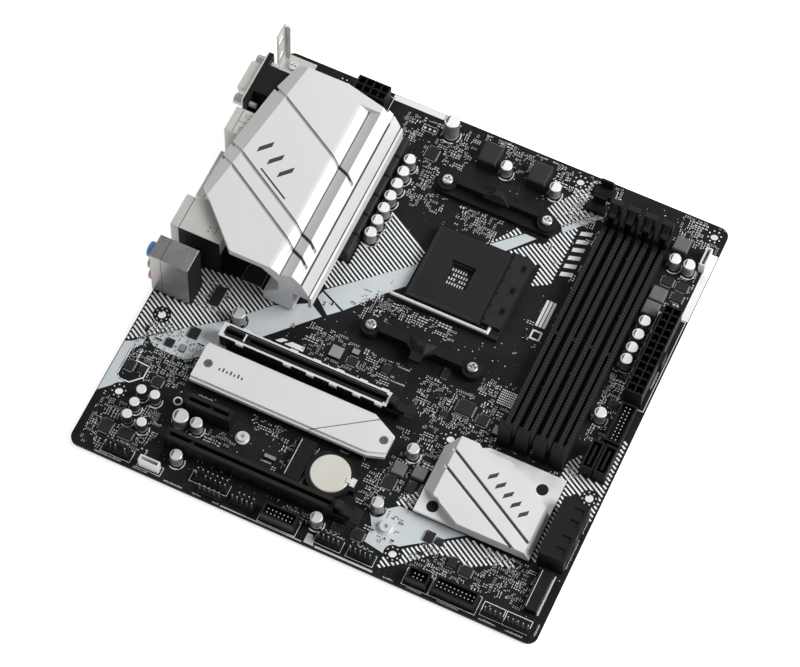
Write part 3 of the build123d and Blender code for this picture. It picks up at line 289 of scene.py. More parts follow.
GREEN = surface("ring_green", (0.22, 0.60, 0.20), 0.45, tone=0.1, grain=0.3)
PINK = surface("ring_pink", (0.78, 0.30, 0.36), 0.45, tone=0.1, grain=0.3)
WHITE = surface("white_plastic", (0.74, 0.73, 0.70), 0.5, tone=0.06, grain=0.3)
BACKPLATE = surface("backplate_paint", (0.02, 0.02, 0.022), 0.5, spec=0.4, tone=0.3, grain=0.4)
# near-black for the socket's contact holes and cam notches: painted shade inside them
HOLE_SHADE = surface("contact_hole_painted_shade", (0.006, 0.006, 0.006), 0.8, spec=0.1, tone=0.3, grain=0.3)
FLOOR = surface("floor_paper", (0.90, 0.90, 0.90), 0.9, spec=0.1, tone=0.01, grain=4, mottle=200, bump=0.02)

floor_shader = FLOOR.node_tree.nodes["Principled BSDF"]
floor_shader.inputs["Emission Color"].default_value = (1, 1, 1, 1)
floor_shader.inputs["Emission Strength"].default_value = 0.7

# which finish each CAD node takes, and the width in mm of its softened edges
FINISH = {
    "circuit_board": (MASK, 0.0), "antenna_bracket": (SATIN, 0.12), "antenna_bracket_screw": (SCREW, 0.12),
    "audio_jack_shell": (CHROME, 0.15), "data_port_shells": (SATIN, 0.15),
    "network_port_shell": (SATIN, 0.15), "video_port_shell": (SATIN, 0.12),
    "video_port_jackscrews": (SATIN, 0.15), "battery_clip": (BRIGHT, 0.06),
    "graphics_slot_steel_frame": (BRIGHT, 0.08), "cooler_bracket_screws": (SCREW, 0.15),
    "drive_cover_screws": (DARK_SCREW, 0.08), "processor_socket_lever": (LEVER, 0.0),
    "cooler_backplate": (BACKPLATE, 0.2), "audio_ring_blue": (BLUE, 0.0), "audio_ring_green": (GREEN, 0.0),
    "audio_ring_pink": (PINK, 0.0), "power_heatsink": (PAINT, 0.25), "chipset_heatsink": (PAINT, 0.2),
    "drive_cover": (PAINT, 0.1), "processor_chokes": (FERRITE, 0.2), "memory_chokes": (GREY_CORE, 0.15),
    "polymer_capacitors": (CAN, 0.0), "large_capacitors": (CAN, 0.0), "audio_capacitors": (BLACK_CAN, 0.0),
    "power_transistors": (RESIN, 0.06), "chips": (RESIN, 0.08), "header_pins": (SHADED_PIN_METAL, 0.08),
    "card_standoffs": (TIN, 0.1), "heatsink_push_pins": (PLASTIC, 0.15), "coin_cell": (CELL, 0.0),
    "processor_socket_base": (SOCKET_PLASTIC, 0.12), "processor_socket_cover": (SOCKET_PLASTIC, 0.1),
    "white_headers": (WHITE, 0.1), "solder_joints": (SOLDER, 0.0),
}
WELD_MM = 0.002
SHARP = math.radians(40)     # edges that turn by more than this are softened
WIDE_EDGE = 0.2              # from this width in mm on, an edge gets two steps
for name, node in nodes.items():
    material, softened = FINISH.get(name, (LATCH_PLASTIC if "latch" in name else PLASTIC, 0.12))
    node.data.materials.clear()
    node.data.materials.append(material)
    if softened:
        weld = node.modifiers.new("weld", "WELD")
        weld.merge_threshold = WELD_MM * MM
        bevel = node.modifiers.new("bevel", "BEVEL")
        bevel.width = softened * MM
        bevel.segments = 2 if softened >= WIDE_EDGE else 1
        bevel.limit_method = "ANGLE"
        bevel.angle_limit = SHARP


# ------------------------------------------------------------------ builders of small parts
class Build:
    """Gathers closed small solids, in board millimetres, into one mesh piece."""

    def __init__(self):
        self.points, self.faces = [], []

    def slab(self, outline, z0, z1, top=None):
        """Prism over an outline; top, if given, is the outline of its upper face."""
        self.loft([(x, y, z0) for x, y in outline], [(x, y, z1) for x, y in (top or outline)])

    def loft(self, lower, upper):
        """Closed solid between two like outlines, each point with its own height."""
        turn = sum(a[0] * b[1] - b[0] * a[1] for a, b in zip(lower, lower[1:] + lower[:1]))
        if turn < 0:
            lower, upper = lower[::-1], upper[::-1]
        base, n = len(self.points), len(lower)
        self.points += [place(*point) for point in lower]
        self.points += [place(*point) for point in upper]
        self.faces.append(tuple(base + i for i in reversed(range(n))))
        self.faces.append(tuple(base + n + i for i in range(n)))
        for i in range(n):
            j = (i + 1) % n
            self.faces.append((base + i, base + j, base + n + j, base + n + i))

    def box(self, x0, y0, x1, y1, z0, z1):
        """Upright block between two plan corners."""
        self.slab([(x0, y0), (x1, y0), (x1, y1), (x0, y1)], z0, z1)

    def round(self, x, y, r, z0, z1, sides=16, r_top=None):
        """Upright cylinder, or a cone where the upper radius is given."""
        angles = [2 * math.pi * k / sides for k in range(sides)]
        upper = r if r_top is None else r_top
        self.slab([(x + r * math.cos(a), y + r * math.sin(a)) for a in angles], z0, z1,
                  [(x + upper * math.cos(a), y + upper * math.sin(a)) for a in angles])

    def ring(self, x, y, inner, outer, z0, z1, start=0.0, sweep=360.0, sides=28):
        """Flat ring or arc, made of short blocks end to end."""
        steps = max(3, int(sides * sweep / 360))
        for k in range(steps):
            a = math.radians(start + sweep * k / steps)
            b = math.radians(start + sweep * (k + 1) / steps)
            self.slab([(x + inner * math.cos(a), y + inner * math.sin(a)),
                       (x + outer * math.cos(a), y + outer * math.sin(a)),
                       (x + outer * math.cos(b), y + outer * math.sin(b)),
                       (x + inner * math.cos(b), y + inner * math.sin(b))], z0, z1)

    def line(self, a, b, width, z0, z1):
        """Straight bar between two plan points."""
        dx, dy = b[0] - a[0], b[1] - a[1]
        length = math.hypot(dx, dy)
        nx, ny = -dy / length * width / 2, dx / length * width / 2
        self.slab([(a[0] + nx, a[1] + ny), (a[0] - nx, a[1] - ny),
                   (b[0] - nx, b[1] - ny), (b[0] + nx, b[1] + ny)], z0, z1)

    def frame(self, x0, y0, x1, y1, width, z0, z1):
        """Outline of a rectangle."""
        self.box(x0, y0, x1, y0 + width, z0, z1)
        self.box(x0, y1 - width, x1, y1, z0, z1)
        self.box(x0, y0 + width, x0 + width, y1 - width, z0, z1)
        self.box(x1 - width, y0 + width, x1, y1 - width, z0, z1)

    def piece(self, name, material, body=BOARD):
        """Makes the gathered solids one named piece that rides on a body."""
        mesh = bpy.data.meshes.new(name)
        mesh.from_pydata(self.points, [], self.faces)
        mesh.materials.append(material)
        made = bpy.data.objects.new(name, mesh)
        bpy.context.scene.collection.objects.link(made)
        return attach(made, body)


def solids(node):
    """Box of every separate solid in a CAD node: x0, y0, z0, x1, y1, z1 in board millimetres."""
    mesh = nodes[node].data
    points = np.array([v.co for v in mesh.vertices], float).reshape(-1, 3)
    keys = {}
    owner = [keys.setdefault(tuple(p), len(keys)) for p in np.round(points / (WELD_MM * MM)).astype(int)]
    parent = list(range(len(keys)))

    def root(i):
        while parent[i] != i:
            parent[i] = parent[parent[i]]
            i = parent[i]
        return i

    for polygon in mesh.polygons:
        first = root(owner[polygon.vertices[0]])
        for v in polygon.vertices[1:]:
            parent[root(owner[v])] = first
    groups = {}
    for i, key in enumerate(owner):
        groups.setdefault(root(key), []).append(i)
    boxes = []
    for members in groups.values():
        some = points[members]
        low = (some.min(0) - (board_low.x, board_low.y, TOP)) / MM
        high = (some.max(0) - (board_low.x, board_low.y, TOP)) / MM
        boxes.append((*low, *high))
    return sorted(boxes)


UNDER_NODES = ("circuit_board", "cooler_backplate", "solder_joints")
footprints = {name: solids(name) for name in nodes if name not in UNDER_NODES}
CAPACITORS = ("polymer_capacitors", "large_capacitors", "audio_capacitors")
CARD_SLOTS = ("graphics_slot_upper", "graphics_slot_lower", "expansion_slot_small")
CARD_SLOT_END = 132.0        # the last contact of the long slots
HEADER_PITCH = 2.54
MEMORY_STEP = 1.7            # between drawn contacts along a memory slot
SMALL_PIN = 0.7              # pins narrower than this are signal pins


def plans(node):
    """Plan corners and top height of every solid in a CAD node: x0, y0, x1, y1, top."""
    return [(x0, y0, x1, y1, z1) for x0, y0, _, x1, y1, z1 in footprints[node]]


def one_side(middle, side, near, far):
    """The two edges, low first, of a strip that lies near to far from a middle line."""
    return sorted((middle + side * near, middle + side * far))


# plan of what is taken on the component face, in quarter-millimetre cells
CELLS = 4
taken = np.zeros((int(SIDE * CELLS) + 2, int(SIDE * CELLS) + 2), bool)


def cells(x0, y0, x1, y1, gap=0.0):
    """Cells that a rectangle covers, with a gap round it."""
    return (slice(max(0, int((x0 - gap) * CELLS)), max(0, int(math.ceil((x1 + gap) * CELLS)))),
            slice(max(0, int((y0 - gap) * CELLS)), max(0, int(math.ceil((y1 + gap) * CELLS)))))


def is_free(x0, y0, x1, y1, gap=0.1):
    """Whether a rectangle lies on the board, clear of its edges and of what is there."""
    inside = x0 > 1 and y0 > 1 and x1 < SIDE - 1 and y1 < SIDE - 1
    return inside and not taken[cells(x0, y0, x1, y1, gap)].any()


def take(x0, y0, x1, y1, gap=0.0):
    """Marks a rectangle as used."""
    taken[cells(x0, y0, x1, y1, gap)] = True


for name in footprints:
    for x0, y0, x1, y1, _ in plans(name):
        take(x0, y0, x1, y1, 0.9 if name == "chips" else 0.45)
HOLES = [(10.16, 80.01), (10.16, 34.29), (165.10, 13.97), (165.10, 80.01), (237.49, 80.01),
         (237.49, 237.49), (165.10, 237.49), (33.02, 237.49)]
for x, y in HOLES:
    take(x - 4.2, y - 4.2, x + 4.2, y + 4.2)

# ------------------------------------------------------------------ screen print
INK0, INK1 = 0.0, 0.03       # lower and upper face of the print on the board
PRINT = 0.02                 # thickness of print and joints drawn on raised parts
silk, pale = Build(), Build()
HATCH = (1.0, -0.58)         # the way the hatching runs


def crossings(outline, origin, direction):
    """Where a line crosses an outline, as distances along the line."""
    found = []
    nx, ny = -direction[1], direction[0]
    for (ax, ay), (bx, by) in zip(outline, outline[1:] + outline[:1]):
        da = (ax - origin[0]) * nx + (ay - origin[1]) * ny
        db = (bx - origin[0]) * nx + (by - origin[1]) * ny
        if (da > 0) != (db > 0):
            t = da / (da - db)
            px, py = ax + t * (bx - ax), ay + t * (by - ay)
            found.append((px - origin[0]) * direction[0] + (py - origin[1]) * direction[1])
    return sorted(found)


def hatch(outline, pitch=2.0, width=0.95):
    """Slanting stripes over an outline."""
    size = math.hypot(*HATCH)
    along = (HATCH[0] / size, HATCH[1] / size)
    across = (-along[1], along[0])
    offsets = [x * across[0] + y * across[1] for x, y in outline]
    for k in range(math.ceil(min(offsets) / pitch), math.floor(max(offsets) / pitch) + 1):
        start = (across[0] * k * pitch, across[1] * k * pitch)
        found = crossings(outline, start, along)
        for a, b in zip(found[0::2], found[1::2]):
            if b - a > 0.6:
                silk.line((start[0] + along[0] * a, start[1] + along[1] * a),
                          (start[0] + along[0] * b, start[1] + along[1] * b), width, INK0, INK1)


hatch([(0.6, 60.4), (9.0, 67.0), (25.0, 79.0), (40.0, 91.5), (52.0, 103.0), (58.0, 110.0), (46.0, 116.0),
       (16.0, 112.0), (16.0, 90.4), (0.6, 90.4)])
hatch([(73.0, 128.5), (76.0, 127.5), (111.0, 158.8), (111.6, 167.6), (87.5, 181.4), (80.6, 160.0),
       (80.6, 145.0), (73.0, 145.0)])
hatch([(137.6, 185.2), (151.0, 198.0), (147.0, 199.6), (143.5, 194.0)])
hatch([(148.4, 185.2), (158.0, 195.0), (163.6, 197.4), (164.0, 201.0), (167.4, 206.4), (174.8, 213.4),
       (174.8, 177.6), (166.2, 172.4), (166.2, 184.0), (158.0, 186.4)])
hatch([(156.0, 216.0), (163.0, 213.0), (166.6, 208.8), (184.0, 227.4), (184.0, 229.0), (172.0, 222.6),
       (172.0, 241.8), (164.4, 232.6), (164.0, 228.0), (158.2, 220.8)])
hatch([(224.8, 38.6), (227.6, 38.6), (227.6, 76.0), (231.0, 80.0), (239.6, 77.6), (239.6, 73.0),
       (242.8, 68.0), (242.8, 115.4), (240.8, 115.4), (240.8, 89.0), (227.4, 89.6), (225.4, 100.0),
       (220.6, 93.0), (220.6, 84.4), (224.8, 82.4)])
hatch([(161.0, 3.6), (171.0, 11.0), (183.0, 22.4), (190.0, 24.0), (199.4, 22.8), (212.0, 30.0),
       (220.0, 31.0), (218.4, 36.0), (193.6, 36.4), (176.4, 24.4), (168.6, 18.2), (161.6, 10.4)])
hatch([(155.0, 38.0), (163.8, 38.0), (163.8, 48.0), (160.0, 47.0)])
pale.slab([(0.4, 30.4), (10.6, 40.2), (6.6, 40.6), (4.6, 43.0), (4.6, 57.4), (9.0, 61.2), (9.0, 66.0),
           (3.6, 61.0), (0.4, 59.4)], INK0, INK1)
pale.slab([(9.8, 66.4), (14.0, 63.0), (30.6, 62.6), (37.8, 68.0), (59.4, 90.0), (81.0, 112.8),
           (73.2, 117.2), (57.0, 108.2), (40.6, 91.2), (25.4, 79.6)], INK0, INK1)
pale.slab([(75.6, 126.4), (89.0, 120.4), (107.0, 141.8), (111.2, 146.0), (111.2, 159.6)], INK0, INK1)
pale.slab([(74.6, 121.6), (83.0, 114.6), (88.2, 119.6), (75.4, 125.4)], INK0, INK1)
pale.slab([(138.4, 185.2), (147.2, 185.2), (158.2, 198.0), (152.0, 198.2)], INK0, INK1)
pale.slab([(166.4, 210.2), (168.4, 206.6), (186.4, 226.6), (184.4, 227.6)], INK0, INK1)
pale.slab([(145.0, 31.6), (150.4, 31.6), (158.0, 37.6), (192.6, 37.4), (175.6, 25.2), (165.6, 18.0),
           (160.8, 12.2), (150.4, 14.0), (150.4, 22.0)], INK0, INK1)
pale.slab([(124.6, 1.2), (129.8, 1.2), (127.4, 6.4), (124.6, 6.4)], INK0, INK1)
silk.box(239.8, 187.4, SIDE - 0.2, 227.6, INK0, INK1)
silk.box(60.0, 240.4, 88.4, SIDE - 0.2, INK0, INK1)
pale.box(81.0, 0.8, 123.6, 1.3, INK0, INK1)
pale.box(130.4, 0.9, 160.4, 1.9, INK0, INK1)
# outlines round ports, headers and slots
FRAMES = ((80.4, 230.6, 88.4, 234.4, 0.3), (35.6, 2.0, 48.4, 6.9, 0.25),
          (228.8, 132.9, 243.0, 187.0, 0.3), (99.8, 1.6, 119.8, 10.6, 0.25),
          (174.8, 1.8, 188.2, 11.0, 0.25), (188.4, 2.0, 212.6, 12.2, 0.25),
          (214.2, 3.4, 225.2, 11.0, 0.3), (225.8, 3.4, 238.9, 11.0, 0.3),
          (16.2, 2.2, 32.2, 8.6, 0.25), (128.6, 3.2, 142.6, 9.4, 0.25),
          (145.2, 3.2, 159.4, 9.4, 0.25), (61.6, 6.4, 81.6, 12.4, 0.25),
          (170.8, 222.2, 184.6, 230.0, 0.25), (170.8, 232.0, 184.6, 240.2, 0.25),
          (40.6, 227.6, 60.6, 241.4, 0.25))
for x0, y0, x1, y1, w in FRAMES:
    silk.frame(x0, y0, x1, y1, w, INK0, INK1)
silk.box(238.9, 14.6, 239.5, 36.4, INK0, INK1)
silk.box(126.6, 44.4, 127.2, 47.0, INK0, INK1)
# octagon outline by the lower rear hole, and the ring of the card screw
octagon = [(5.2, 42.0), (7.2, 40.4), (12.4, 40.4), (17.6, 45.6), (17.6, 52.0), (10.4, 52.4), (10.4, 59.0),
           (8.4, 60.6), (5.2, 57.6)]
for a, b in zip(octagon, octagon[1:] + octagon[:1]):
    silk.line(a, b, 0.6, INK0, INK1)
silk.ring(38.3, 41.5, 1.6, 2.3, INK0, INK1)
# rings and half moons round the capacitors
for group, extra in (("polymer_capacitors", 0.45), ("audio_capacitors", 0.4), ("large_capacitors", 0.6)):
    for x0, y0, x1, y1, _ in plans(group):
        cx, cy, r = (x0 + x1) / 2, (y0 + y1) / 2, (x1 - x0) / 2
        silk.ring(cx, cy, r + extra, r + extra + 0.2, INK0, INK1)
        silk.ring(cx, cy, r + extra, r + extra + 0.75, INK0, INK1, start=-125, sweep=160)
# generic strokes where the board carries print, slanting like the hatching
for k in range(6):
    y = 184.0 + k * 5.0
    silk.slab([(176.6, y), (182.4, y + 1.8), (182.4, y + 4.2), (176.6, y + 2.4)], INK0, INK1)
silk.frame(176.8, 146.0, 182.2, 151.4, 0.9, INK0, INK1)
for k in range(3):
    silk.box(176.8 + 1.9 * k, 153.6, 178.2 + 1.9 * k, 169.0, INK0, INK1)
silk.slab([(66.0, 91.4), (69.0, 91.4), (72.0, 94.0), (69.0, 94.0)], INK0, INK1)
silk.slab([(71.0, 91.4), (81.0, 91.4), (81.0, 94.0), (74.0, 94.0)], INK0, INK1)


def strokes(x, y, count, height=0.9, pitch=0.55, upright=False):
    """Row of tiny strokes of mixed length, standing for small print without being any letter."""
    for k in range(count):
        tall = height * rng.choice((0.55, 0.8, 1.0))
        if upright:
            silk.box(x, y + k * pitch, x + tall, y + k * pitch + 0.2, INK0, INK1)
        else:
            silk.box(x + k * pitch, y, x + k * pitch + 0.2, y + tall, INK0, INK1)


LEVEL_ROWS = ((14.0, 0.9, 26), (34.6, 0.9, 14), (51.0, 0.9, 18), (66.0, 0.9, 9), (77.0, 0.9, 6),
              (101.0, 11.4, 20), (132.0, 10.2, 18), (149.0, 10.2, 14), (166.0, 1.0, 10), (178.0, 0.9, 14),
              (194.0, 0.9, 20), (215.0, 1.2, 16), (228.6, 1.2, 16), (82.0, 236.6, 12), (112.0, 241.6, 6),
              (121.0, 241.6, 8), (141.0, 241.6, 8), (148.0, 241.6, 7), (46.0, 48.6, 14), (88.0, 30.6, 10),
              (120.0, 51.2, 8), (126.0, 104.0, 12), (126.0, 95.6, 14), (140.0, 95.6, 7), (33.0, 26.0, 8))
UPRIGHT_ROWS = ((241.4, 42.0, 30), (241.4, 62.0, 16), (241.6, 4.6, 12), (241.0, 146.0, 20),
                (184.0, 206.0, 12), (184.0, 190.0, 8), (36.6, 8.8, 6), (101.6, 118.0, 8), (156.4, 60.6, 8))
for x, y, count in LEVEL_ROWS:
    strokes(x, y, count)
for x, y, count in UPRIGHT_ROWS:
    strokes(x, y, count, upright=True)
silk.piece("screen_print_lines", SILK)
pale.piece("screen_print_fields", FIELD)

# ------------------------------------------------------------------ plated holes and test points
take(239.2, 186.8, SIDE, 228.2)
take(59.6, 240.0, 88.8, SIDE)
plating, clearings = Build(), Build()
for x, y in HOLES:
    clearings.ring(x, y, 2.0, 4.5, INK1, INK1 + 0.01, sides=32)
    for k in range(8):
        angle = math.pi * (k + 0.5) / 4
        plating.round(x + 3.25 * math.cos(angle), y + 3.25 * math.sin(angle), 0.42, 0.0, 0.05, sides=10)
VIA_TRIES = 900
for _ in range(VIA_TRIES):
    x, y = rng.uniform(2, SIDE - 2), rng.uniform(2, SIDE - 2)
    if is_free(x - 0.3, y - 0.3, x + 0.3, y + 0.3):
        plating.round(x, y, rng.choice((0.16, 0.2, 0.3)), 0.0, 0.035, sides=8)
for k in range(3):
    plating.round(81.8 + HEADER_PITCH * k, 232.4, 0.75, 0.0, 0.08, sides=14)
take(80.4, 230.6, 88.4, 234.4)
for i in range(8):
    for j in range(7):
        plating.box(177.0 + i, 107.2 + 1.25 * j, 177.62 + i, 107.9 + 1.25 * j, 0.0, 0.06)
take(176.5, 106.5, 185.4, 116.5)
for x0, y0, count, pitch in ((58.6, 17.2, 9, HEADER_PITCH), (34.2, 11.6, 2, HEADER_PITCH),
                             (102.6, 9.4, 14, HEADER_PITCH / 2)):
    for i in range(count):
        plating.round(x0 + pitch * i, y0, 0.5, 0.0, 0.08, sides=10)
        take(x0 + pitch * i - 0.6, y0 - 0.6, x0 + pitch * i + 0.6, y0 + 0.6)
plating.piece("plated_points", TIN)
clearings.piece("hole_clearings", MASK)

# ------------------------------------------------------------------ tiny mounted parts
tan_bodies, black_bodies, ends, leads, legends = Build(), Build(), Build(), Build(), Build()
SIZES = {"small": (1.0, 0.5, 0.42), "medium": (1.6, 0.8, 0.6), "large": (2.0, 1.25, 0.9)}


def two_terminal(size, x, y, turned, black):
    """Chip resistor or capacitor: a body between two tinned ends, on solder."""
    length, width, height = SIZES[size]
    height *= 0.7 if black else 1.0
    dx, dy = (width, length) if turned else (length, width)
    cap = 0.24 * length
    body = black_bodies if black else tan_bodies
    if turned:
        body.box(x, y + cap, x + dx, y + dy - cap, 0.03, height - 0.02)
        ends.box(x - 0.02, y, x + dx + 0.02, y + cap, 0.0, height)
        ends.box(x - 0.02, y + dy - cap, x + dx + 0.02, y + dy, 0.0, height)
    else:
        body.box(x + cap, y, x + dx - cap, y + dy, 0.03, height - 0.02)
        ends.box(x, y - 0.02, x + cap, y + dy + 0.02, 0.0, height)
        ends.box(x + dx - cap, y - 0.02, x + dx, y + dy + 0.02, 0.0, height)


def small_package(x, y, turned):
    """Three- to six-leg transistor or regulator."""
    long, wide, high = PACKAGE
    dx, dy = (wide, long) if turned else (long, wide)
    black_bodies.slab([(x, y), (x + dx, y), (x + dx, y + dy), (x, y + dy)], 0.1, high,
                      [(x + 0.12, y + 0.12), (x + dx - 0.12, y + 0.12), (x + dx - 0.12, y + dy - 0.12),
                       (x + 0.12, y + dy - 0.12)])
    for side in (0, 1):
        for k in range(rng.choice((1, 2, 3))):
            along = 0.35 + 0.95 * k
            if turned:
                x0, x1 = x + (dx if side else -0.55), x + (dx + 0.55 if side else 0)
                ends.box(x0, y + along, x1, y + along + 0.38, 0, 0.3)
            else:
                y0, y1 = y + (dy if side else -0.55), y + (dy + 0.55 if side else 0)
                ends.box(x + along, y0, x + along + 0.38, y1, 0, 0.3)


TRIES_PER_MM2 = 0.22
DARK_SHARE = 0.72            # of the rows, resistors rather than capacitors
PACKAGE_SHARE = 0.07
PACKAGE = (2.9, 1.5, 1.0)
LEGEND_SHARE = 0.38          # of the rows, those with a stroke of print beside them
ROW_GAP = 0.6


def populate(x0, y0, x1, y1, density):
    """Fills a patch with rows of alike small parts, wherever there is room."""
    for _ in range(int((x1 - x0) * (y1 - y0) * TRIES_PER_MM2 * density)):
        x, y = rng.uniform(x0, x1), rng.uniform(y0, y1)
        turned = rng.random() < 0.5
        if rng.random() < PACKAGE_SHARE:
            dx, dy = (PACKAGE[1], PACKAGE[0]) if turned else PACKAGE[:2]
            if is_free(x - 0.6, y - 0.6, x + dx + 0.6, y + dy + 0.6):
                small_package(x, y, turned)
                take(x - 0.6, y - 0.6, x + dx + 0.6, y + dy + 0.6)
            continue
        size = rng.choices(("small", "medium", "large"), (0.66, 0.26, 0.08))[0]
        length, width, _ = SIZES[size]
        black = rng.random() < DARK_SHARE
        step = width + ROW_GAP
        note_w, note_d = rng.choice(((1.3, 0.22), (0.22, 1.3), (0.8, 0.22), (0.22, 0.8), (0.5, 0.5)))
        note_x, note_y = x - 0.45 - note_w * rng.random(), y - 0.4 - note_d * rng.random()
        if rng.random() < LEGEND_SHARE and is_free(note_x, note_y, note_x + note_w, note_y + note_d, 0.0):
            legends.box(note_x, note_y, note_x + note_w, note_y + note_d, INK0, INK1)
        for k in range(rng.choice((1, 2, 3, 4, 5))):
            px, py = (x + k * step, y) if turned else (x, y + k * step)
            dx, dy = (width, length) if turned else (length, width)
            if px + dx < x1 + 2 and py + dy < y1 + 2 and is_free(px, py, px + dx, py + dy, 0.08):
                two_terminal(size, px, py, turned, black)
                take(px, py, px + dx, py + dy)


PATCHES = [(5, 44, 36, 76, 1.3), (4, 9, 36, 31, 1.1), (18, 90, 34, 112, 0.8), (75, 43, 92, 52, 1.0),
           (55, 27, 72, 40, 0.8), (78, 92, 126, 107, 0.9), (140, 84, 186, 116, 1.1),
           (141, 40, 165, 62, 1.1), (128, 28, 148, 51, 0.7), (106, 127, 143, 135, 0.8),
           (92, 118, 110, 136, 0.7), (86, 188, 109, 240, 0.75), (116, 185, 138, 200, 0.8),
           (69, 219, 81, 236, 1.2), (219, 107, 231, 152, 1.0), (219, 226, 241, 243, 1.1),
           (209, 12, 231, 31, 0.8), (172, 11, 210, 24, 0.9), (229, 188, 241, 216, 0.8),
           (160, 214, 186, 242, 0.5), (103, 142, 112, 152, 0.8), (101, 10, 124, 17, 1.0),
           (146, 14, 162, 33, 0.5), (150, 62, 164, 86, 0.6), (93, 27, 101, 48, 0.4),
           (112, 228, 170, 243, 0.5), (4, 2, 16, 12, 0.7), (186, 84, 226, 90, 0.6),
           (203, 28, 226, 38, 0.6), (164, 118, 186, 210, 0.03), (60, 95, 110, 128, 0.03),
           (218, 30, 231, 37, 0.5), (134, 68, 146, 80, 0.4)]
for patch in PATCHES:
    populate(*patch)

# legs and first-pin dots of the chips, and the tops of the pale ones
prints = Build()
pale_tops = Build()
PALE_CHIPS = ((92.8, 94.8), (102.6, 100.8), (26.6, 65.8), (88.6, 32.4), (181.6, 90.8))
for x0, y0, x1, y1, z1 in plans("chips"):
    w, d = x1 - x0, y1 - y0
    if any(abs(x0 - a) + abs(y0 - b) < 0.3 for a, b in PALE_CHIPS):
        pale_tops.box(x0 + 0.1, y0 + 0.1, x1 - 0.1, y1 - 0.1, z1, z1 + 0.08)
        continue
    if x0 > 196 and y0 > 49 and w > 15:      # hidden under the chipset heatsink
        continue
    pitch = 0.65 if min(w, d) > 4.5 else 0.95
    for k in range(int((w - 0.8) / pitch) + 1):
        x = x0 + 0.4 + k * pitch
        leads.box(x, y0 - 0.65, x + 0.28, y0 + 0.02, 0.0, 0.14)
        leads.box(x, y1 - 0.02, x + 0.28, y1 + 0.65, 0.0, 0.14)
    if min(w, d) > 4.4:
        for k in range(int((d - 0.8) / pitch) + 1):
            y = y0 + 0.4 + k * pitch
            leads.box(x0 - 0.65, y, x0 + 0.02, y + 0.28, 0.0, 0.14)
            leads.box(x1 - 0.02, y, x1 + 0.65, y + 0.28, 0.0, 0.14)
    prints.round(x0 + 0.8, y1 - 0.8, 0.25, z1, z1 + 0.012, sides=12)
legends.piece("part_legends", SILK)
tan_bodies.piece("ceramic_capacitors", TAN)
black_bodies.piece("resistors_and_regulators", RESIN)
ends.piece("tinned_ends", TIN)
leads.piece("chip_leads", TIN)
pale_tops.piece("pale_component_tops", PALE_RESIN)
prints.piece("first_pin_dots", PALE_RESIN)

# ------------------------------------------------------------------ capacitors: printed tops and seats
tops, seats = Build(), Build()
ARC_START, ARC_SWEEP, ARC_STEPS = 124, 112, 14       # printed segment of a can's top, in degrees
for group in CAPACITORS:
    for x0, y0, x1, y1, z1 in plans(group):
        cx, cy, r = (x0 + x1) / 2, (y0 + y1) / 2, (x1 - x0) / 2
        if group != "audio_capacitors":
            arc = [math.radians(ARC_START + ARC_SWEEP * k / ARC_STEPS) for k in range(ARC_STEPS + 1)]
            tops.slab([(cx + 0.8 * r * math.cos(a), cy + 0.8 * r * math.sin(a)) for a in arc], z1, z1 + PRINT)
        half = r + 0.12
        cut = 0.7
        seats.slab([(cx - half, cy - half), (cx + half - cut, cy - half), (cx + half, cy - half + cut),
                    (cx + half, cy + half - cut), (cx + half - cut, cy + half), (cx - half, cy + half)],
                   0.0, 0.9)
tops.piece("capacitor_prints", PRINT_GREY)
seats.piece("capacitor_seats", PLASTIC)

# ------------------------------------------------------------------ heatsink stripes, painted groove shade and generic marks
stripes, marks = Build(), Build()
Z_HS = footprints["power_heatsink"][0][5]
Z_CH = footprints["chipset_heatsink"][0][5]
Z_M2 = footprints["drive_cover"][0][5]
STRIPE = 0.04                # thickness of the stripes laid on groove floors
GROOVE_DEPTH, GROOVE_HALF = 1.0, 0.82
# upper surface of the heatsink from its flat top over the valley and ridge, as (x, height)
HS_SURFACE = [(13.0, Z_HS), (54.2, Z_HS), (55.7, 35.7), (57.1, 35.0), (58.3, 34.1), (59.4, 33.1),
              (60.4, 32.2), (61.0, 33.4), (66.6, Z_HS), (68.8, 33.9), (70.3, 32.4)]
# the three slanting grooves: y at both ends, and the x that each starts from
GROOVE_X0, GROOVE_X1 = 2.0, 73.0
GROOVES = ((209.1, 167.8, 20.6), (168.3, 126.1, 14.8), (159.1, 116.3, 13.4))
shadows = Build()
for ay, by, x_from in GROOVES:
    slope = (by - ay) / (GROOVE_X1 - GROOVE_X0)
    reach = {side: side * GROOVE_HALF / math.cos(math.atan(slope)) for side in (-1, 1)}
    for (x0, z0), (x1, z1) in zip(HS_SURFACE, HS_SURFACE[1:]):
        x0 = max(x0, x_from)
        corners = [(x, ay + slope * (x - GROOVE_X0) + reach[side], z - GROOVE_DEPTH)
                   for x, z, sides in ((x0, z0, (-1, 1)), (x1, z1, (1, -1))) for side in sides]
        # groove stripes over the valley floor, its far facet and the ridge's first down slope take the dark
        # colour instead: painted shade in the grooves there
        group = shadows if x0 > 66 and x1 < 69 or 60 < x0 < 66 else stripes
        group.loft(corners, [(x, y, z + STRIPE) for x, y, z in corners])
# thin dark lines of painted shade running the length of the heatsink, in the valley floor and along two steps
# of its side
for x0, z0, x1, z1, y_end in ((60.15, 32.45, 60.62, 32.65, 210.3), (71.25, 31.2, 72.05, 30.25, 209.8),
                              (75.2, 22.1, 75.85, 21.5, 214.6)):
    corners = [(x0, 109.3, z0), (x0, y_end, z0), (x1, y_end, z1), (x1, 109.3, z1)]
    shadows.loft([(x, y, z - 0.25) for x, y, z in corners], corners)
